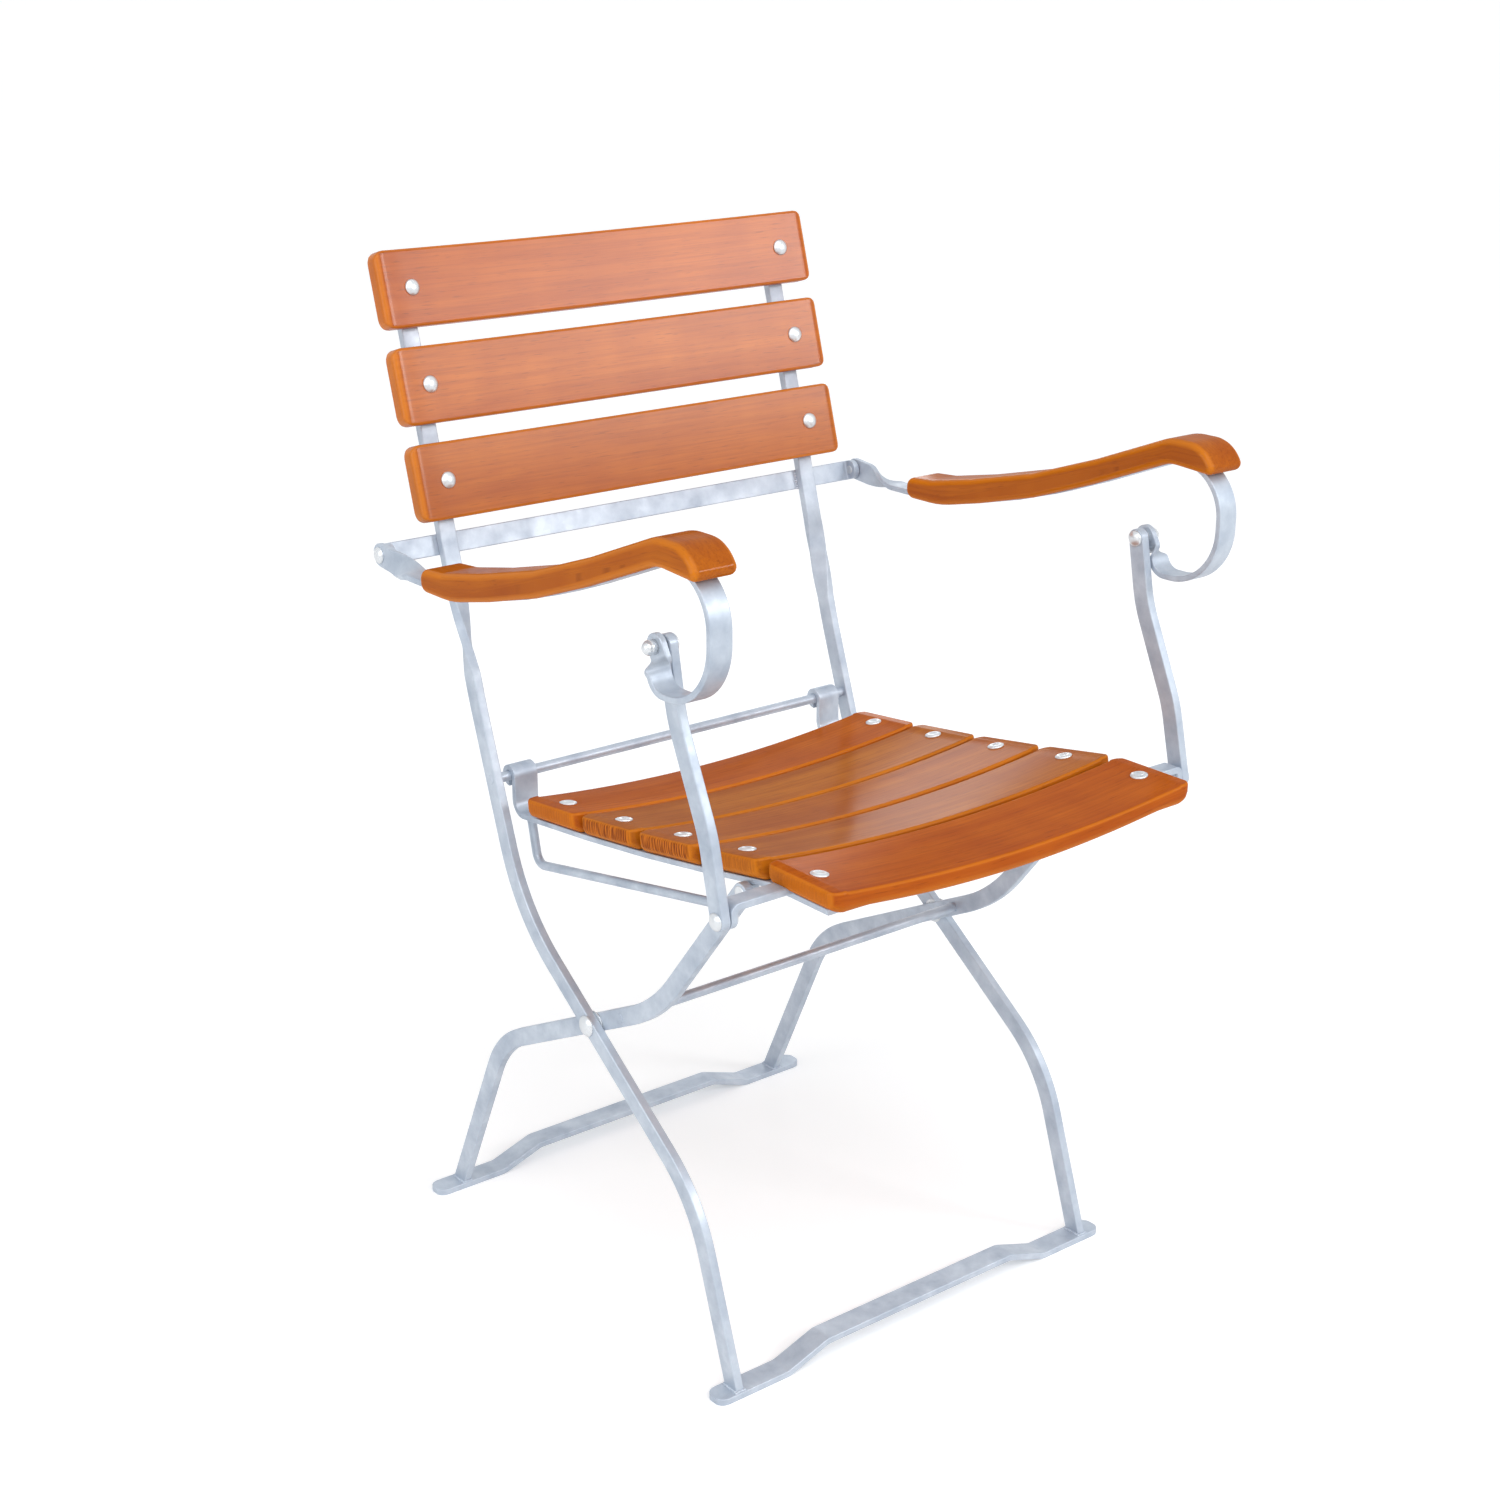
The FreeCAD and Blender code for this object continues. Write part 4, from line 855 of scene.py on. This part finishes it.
def makeRivetGroup():
    inputs = [("Head Radius", "Float"), ("Head Height", "Float"), ("Rim Share", "Float"),
              ("Dimple Share", "Float"), ("Seed", "Int"), ("Material", "Material")]
    group, source, sink = geometryGroup("rivetHeads", inputs)
    given = source.outputs
    disc = node(group, "GeometryNodeMeshCylinder", dict(headRule["disc"], Radius=given["Head Radius"]))
    parts = node(group, "ShaderNodeSeparateXYZ", {0: output(group, "GeometryNodeInputPosition")}).outputs
    flat = output(group, "ShaderNodeCombineXYZ", {"X": parts["X"], "Y": parts["Y"]})
    reach = node(group, "ShaderNodeVectorMath", {0: flat}, operation="LENGTH").outputs["Value"]
    share = maths(group, "DIVIDE", reach, given["Head Radius"])
    curve = maths(group, "POWER", share, headRule["domePower"])
    fall = maths(group, "SUBTRACT", 1.0, given["Rim Share"])
    dome = maths(group, "SUBTRACT", 1.0, maths(group, "MULTIPLY", curve, fall))
    dimple = {"Value": share, "From Min": headRule["dimpleRim"], "From Max": headRule["dimpleFloor"],
              "To Min": 0.0, "To Max": given["Dimple Share"]}
    well = output(group, "ShaderNodeMapRange", dimple, interpolation_type="SMOOTHSTEP")
    lift = maths(group, "MULTIPLY", maths(group, "SUBTRACT", dome, well), given["Head Height"])
    upper = output(group, "FunctionNodeCompare", {0: parts["Z"], 1: 0.0}, data_type="FLOAT",
                   operation="GREATER_THAN")
    level = output(group, "GeometryNodeSwitch", {"Switch": upper, "False": headRule["sunk"], "True": lift},
                   input_type="FLOAT")
    spot = output(group, "ShaderNodeCombineXYZ", {"X": parts["X"], "Y": parts["Y"], "Z": level})
    head = output(group, "GeometryNodeSetPosition", {"Geometry": disc.outputs["Mesh"], "Position": spot})
    axis = output(group, "GeometryNodeInputNamedAttribute", {"Name": "axis"}, data_type="FLOAT_VECTOR")
    aligned = output(group, "FunctionNodeAlignRotationToVector", {"Vector": axis}, axis="Z")
    sizes = {2: headRule["smallest"], 3: headRule["largest"], "Seed": given["Seed"]}
    size = node(group, "FunctionNodeRandomValue", sizes, data_type="FLOAT").outputs[1]
    realised(group, source, sink, {"Points": given["Geometry"], "Instance": head, "Rotation": aligned,
                                   "Scale": size})
    return group


weldRule = {"bead": 0.0016, "step": 0.0021, "roundness": 2, "smallest": (0.8, 0.8, 0.7),
            "largest": (1.25, 1.25, 1.1), "footX": 4.2, "footY": 8.6, "footZ": 6, "gap": 0.4,
            "crossbarReach": 8, "frontSeed": 21, "rearSeed": 31, "crossbarSeed": 41}


def makeWeldGroup():
    inputs = [("Bead Size", "Float"), ("Step", "Float"), ("Seed", "Int"), ("Material", "Material")]
    group, source, sink = geometryGroup("weldBead", inputs)
    given = source.outputs
    curve = output(group, "GeometryNodeMeshToCurve", {0: given["Geometry"]})
    spaced = {"Curve": curve, "Length": given["Step"]}
    even = output(group, "GeometryNodeResampleCurve", spaced, mode="LENGTH")
    ball = {"Subdivisions": weldRule["roundness"], "Radius": given["Bead Size"]}
    bead = output(group, "GeometryNodeMeshIcoSphere", ball)
    sizes = {0: weldRule["smallest"], 1: weldRule["largest"], "Seed": given["Seed"]}
    size = output(group, "FunctionNodeRandomValue", sizes, data_type="FLOAT_VECTOR")
    realised(group, source, sink, {"Points": even, "Instance": bead, "Scale": size})
    return group


rivetGroup = makeRivetGroup()
weldGroup = makeWeldGroup()


def grown(name, group, points, edges, axes, settings):
    mesh = bpy.data.meshes.new(name)
    mesh.from_pydata([inMetres(point) for point in points], edges, [])
    layer = mesh.attributes.new("axis", "FLOAT_VECTOR", "POINT")
    layer.data.foreach_set("vector", [value for axis in axes for value in axis])
    obj = linked(name, mesh)
    modifier = obj.modifiers.new("grown", "NODES")
    modifier.node_group = group
    for item in group.interface.items_tree:
        if item.item_type == "SOCKET" and item.in_out == "INPUT" and item.name in settings:
            modifier[item.identifier] = settings[item.name]
    return applied(obj)


# A place is where a head sits and the way it faces
def rivets(name, places, head, body, *nodes):
    settings = {"Head Radius": head["radius"] * metre, "Head Height": head["height"] * metre,
                "Rim Share": head["rim"], "Dimple Share": head["dimple"], "Seed": head["seed"],
                "Material": bright}
    spots, axes = zip(*places)
    return worn(grown(name, rivetGroup, spots, [], axes, settings), bright, body, "bright_rivets", *nodes)


def onDish(spot, up, shape):
    half, dish, x = shape["half"], shape["dish"], shape["rest"]
    slope = across * (x * 2 * dish / (half * half + dish * dish))
    return [(sideView(s * x, spot), (sideView(0, up) - slope * s).normalized()) for s in bothSides]


def inPair(x, spot, way=1):
    return [(sideView(s * x, spot), across * (s * way)) for s in bothSides]


backHead = {"radius": 7, "height": 3.6, "rim": 0.3, "dimple": 0.0, "seed": 3}
spots = [backStart + backUp * run + backFace for run in backRuns]
places = [place for spot in spots for place in onDish(spot, backFront, backSlat)]
rivets("backRivets", places, backHead, "back_frame", "back_slat_rivets")

seatHead = {"radius": 7.2, "height": 2.4, "rim": 0.45, "dimple": 0.55, "seed": 5}
places = [place for top, along, up in slatLines for place in onDish(top, up, seatSlat)]
rivets("seatRivets", places, seatHead, "seat_frame", "seat_rivets")

tailHead = {"radius": 5.0, "height": 2.0, "rim": 0.4, "dimple": 0.0, "seed": 7}
spots = [backStart + backUp * run - backFront * bar["halfThick"] for run in backRuns]
places = [(sideView(s * longX, spot), sideView(0, -backFront)) for spot in spots for s in bothSides]
rivets("backRivetTails", places, tailHead, "back_frame")

underHead = {"radius": 4.4, "height": 1.8, "rim": 0.4, "dimple": 0.0, "seed": 23}
places = [(sideView(s * sideBarX, top - up * barBottom), sideView(0, -up)) for top, along, up in slatLines
          for s in bothSides]
rivets("seatRivetTails", places, underHead, "seat_frame")

pivotHead = {"radius": 7.0, "height": 3.8, "rim": 0.3, "dimple": 0.0, "seed": 11, "x": 264.6}
flushHead = {"radius": 4.0, "height": 0.5, "rim": 0.5, "dimple": 0.0, "seed": 17, "x": 253}
pinHead = {"radius": 5.6, "height": 0.7, "rim": 0.6, "dimple": 0.5, "seed": 19, "x": 193}
crossHead = {"radius": 9.5, "height": 4.8, "rim": 0.25, "dimple": 0.0, "seed": 13, "x": 202}
rivets("armPivotRivets", inPair(pivotHead["x"], armPivot), pivotHead, "back_frame", "arm_pivot_rivets")
rivets("armPivotTails", inPair(flushHead["x"], armPivot, -1), flushHead, "back_frame")
rivets("slidePinTails", inPair(pinHead["x"], slidePin), pinHead, "leg_frame")
rivets("crossRivets", inPair(crossHead["x"], crossSpot), crossHead, "back_frame", "cross_pivot_rivets")

# Each support's rivets: the top one rides with the arm, the foot one with the support
capHead = {"radius": 5.8, "height": 10.6, "rim": 0.6, "dimple": 0.0, "seed": 15, "x": 259}
collar = {"places": (251.5, 252.5, 254), "radius": 6, "segments": 28, "endEdge": 0.3}
supportRivet = {"topX": 243, "footOuterX": 251, "footInnerX": 236.5}
for title, name, side in sides:
    out = across * side
    places = [(sideView(side * capHead["x"], supportTop), out)]
    rivets("supportTopCap" + title, places, capHead, "arm_" + name, "support_top_rivet_" + name)
    places = [(sideView(side * supportRivet["topX"], supportTop), -out)]
    rivets("supportTopRivet" + title, places, pivotHead, "arm_" + name)
    form = Form()
    line = crossLine(side, collar["places"], supportTop)
    rod(form, line, collar["radius"], collar["segments"], collar["endEdge"])
    worn(built("supportCollar" + title, form), bright, "arm_" + name, "bright_rivets")
    places = [(sideView(side * supportRivet["footOuterX"], supportFoot), out),
              (sideView(side * supportRivet["footInnerX"], supportFoot), -out)]
    rivets("supportFootRivet" + title, places, pivotHead, "support_" + name, "support_foot_rivet_" + name)


# Weld beads where the legs stand on the foot bars and where the uprights cross the crossbar
def weld(name, points, closed, body, seed):
    edges = [(n, n + 1) for n in range(len(points) - 1)] + ([(len(points) - 1, 0)] if closed else [])
    settings = {"Bead Size": weldRule["bead"], "Step": weldRule["step"], "Seed": seed, "Material": zinc}
    obj = grown(name, weldGroup, points, edges, [(0, 0, 1)] * len(points), settings)
    worn(obj, zinc, body, "galvanised_steel")


def footWeld(name, x, y, body, seed):
    u, v = weldRule["footX"], weldRule["footY"]
    corners = ((-u, -v), (u, -v), (u, v), (-u, v))
    weld(name, [Vector((x + du, y + dv, weldRule["footZ"])) for du, dv in corners], True, body, seed)


seam = crossbarSpot - backFront * (bar["halfThick"] + weldRule["gap"])
seamX = longX - bar["half"] - weldRule["gap"]
for n, (title, name, side) in enumerate(sides):
    x, y = side * longX, longBar["foot"][0]
    footWeld("footWeldFront" + title, x, y, "back_frame", weldRule["frontSeed"] + n)
    x, y = side * shortX, shortBar["foot"][0]
    footWeld("footWeldRear" + title, x, y, "leg_frame", weldRule["rearSeed"] + n)
    ends = [sideView(side * seamX, seam + backUp * (s * weldRule["crossbarReach"])) for s in (-1, 1)]
    weld("crossbarWeld" + title, ends, False, "back_frame", weldRule["crossbarSeed"] + n)
print("rivets and welds made")

# Stage: floor, light and camera
floorLook = {"half": 60.0, "colour": (0.93, 0.93, 0.93, 1), "rough": 0.9, "shine": 0.1, "glow": 0.24}
skyLook = {"colour": (0.96, 0.98, 1.0, 1), "strength": 0.5, "seenStrength": 1.0}


def seenRays(tree, low, high):
    path = tree.nodes.new("ShaderNodeLightPath")
    seen = path.outputs["Is Camera Ray"]
    for kind in ("Is Glossy Ray", "Is Transmission Ray"):
        seen = maths(tree, "ADD", seen, path.outputs[kind])
    return ranged(tree, seen, 0.0, 1.0, low, high)


half = floorLook["half"]
corners = [(-half, -half, 0), (half, -half, 0), (half, half, 0), (-half, half, 0)]
mesh = bpy.data.meshes.new("floor")
mesh.from_pydata(corners, [], [(0, 1, 2, 3)])
floor = linked("floor", mesh)
pale, paleTree, paleShader = emptyMaterial("paleFloor")
fill(paleTree, paleShader, {"Base Color": floorLook["colour"], "Roughness": floorLook["rough"],
                            "Specular IOR Level": floorLook["shine"], "Emission Color": (1, 1, 1, 1),
                            "Emission Strength": seenRays(paleTree, 0.0, floorLook["glow"])})
floor.data.materials.append(pale)

world = bpy.data.worlds.new("studio")
scene.world = world
world.use_nodes = True
skyRays = seenRays(world.node_tree, skyLook["strength"], skyLook["seenStrength"])
fill(world.node_tree, world.node_tree.nodes["Background"], {"Color": skyLook["colour"], "Strength": skyRays})


def lamp(name, kind, place, target, energy, **extra):
    data = bpy.data.lights.new(name, kind)
    data.energy = energy
    for title, value in extra.items():
        setattr(data, title, value)
    obj = linked(name, data)
    obj.location = place
    obj.rotation_euler = (Vector(target) - Vector(place)).to_track_quat("-Z", "Y").to_euler()


lamp("keyLamp", "SUN", (-0.8, -2.2, 3.0), (0, 0, 0.4), 1.4, angle=math.radians(60))
lamp("sideLamp", "AREA", (1.95, -2.9, 2.08), (0, 0.2, 0.77), 30, shape="RECTANGLE", size=0.9, size_y=0.8)
lamp("stripLamp", "AREA", (1.64, 1.81, 0.95), (0, -0.08, 0.45), 1.7, shape="RECTANGLE", size=0.2, size_y=0.7)
lamp("fillLamp", "AREA", (-2.8, -0.2, 1.5), (0, 0, 0.5), 18, shape="RECTANGLE", size=1.8, size_y=1.6)

# Camera of the photograph, solved from the picture
view = {"lens": 57.77, "sensor": 36, "place": (-1.236, -1.505155, 1.152), "tilt": 70.60, "turn": -38.45}
cameraData = bpy.data.cameras.new("photoCamera")
cameraData.lens = view["lens"]
cameraData.sensor_width = view["sensor"]
camera = linked("photoCamera", cameraData)
camera.location = view["place"]
camera.rotation_euler = (math.radians(view["tilt"]), 0, math.radians(view["turn"]))
scene.camera = camera
scene.view_settings.view_transform = "Standard"

print("stage made")
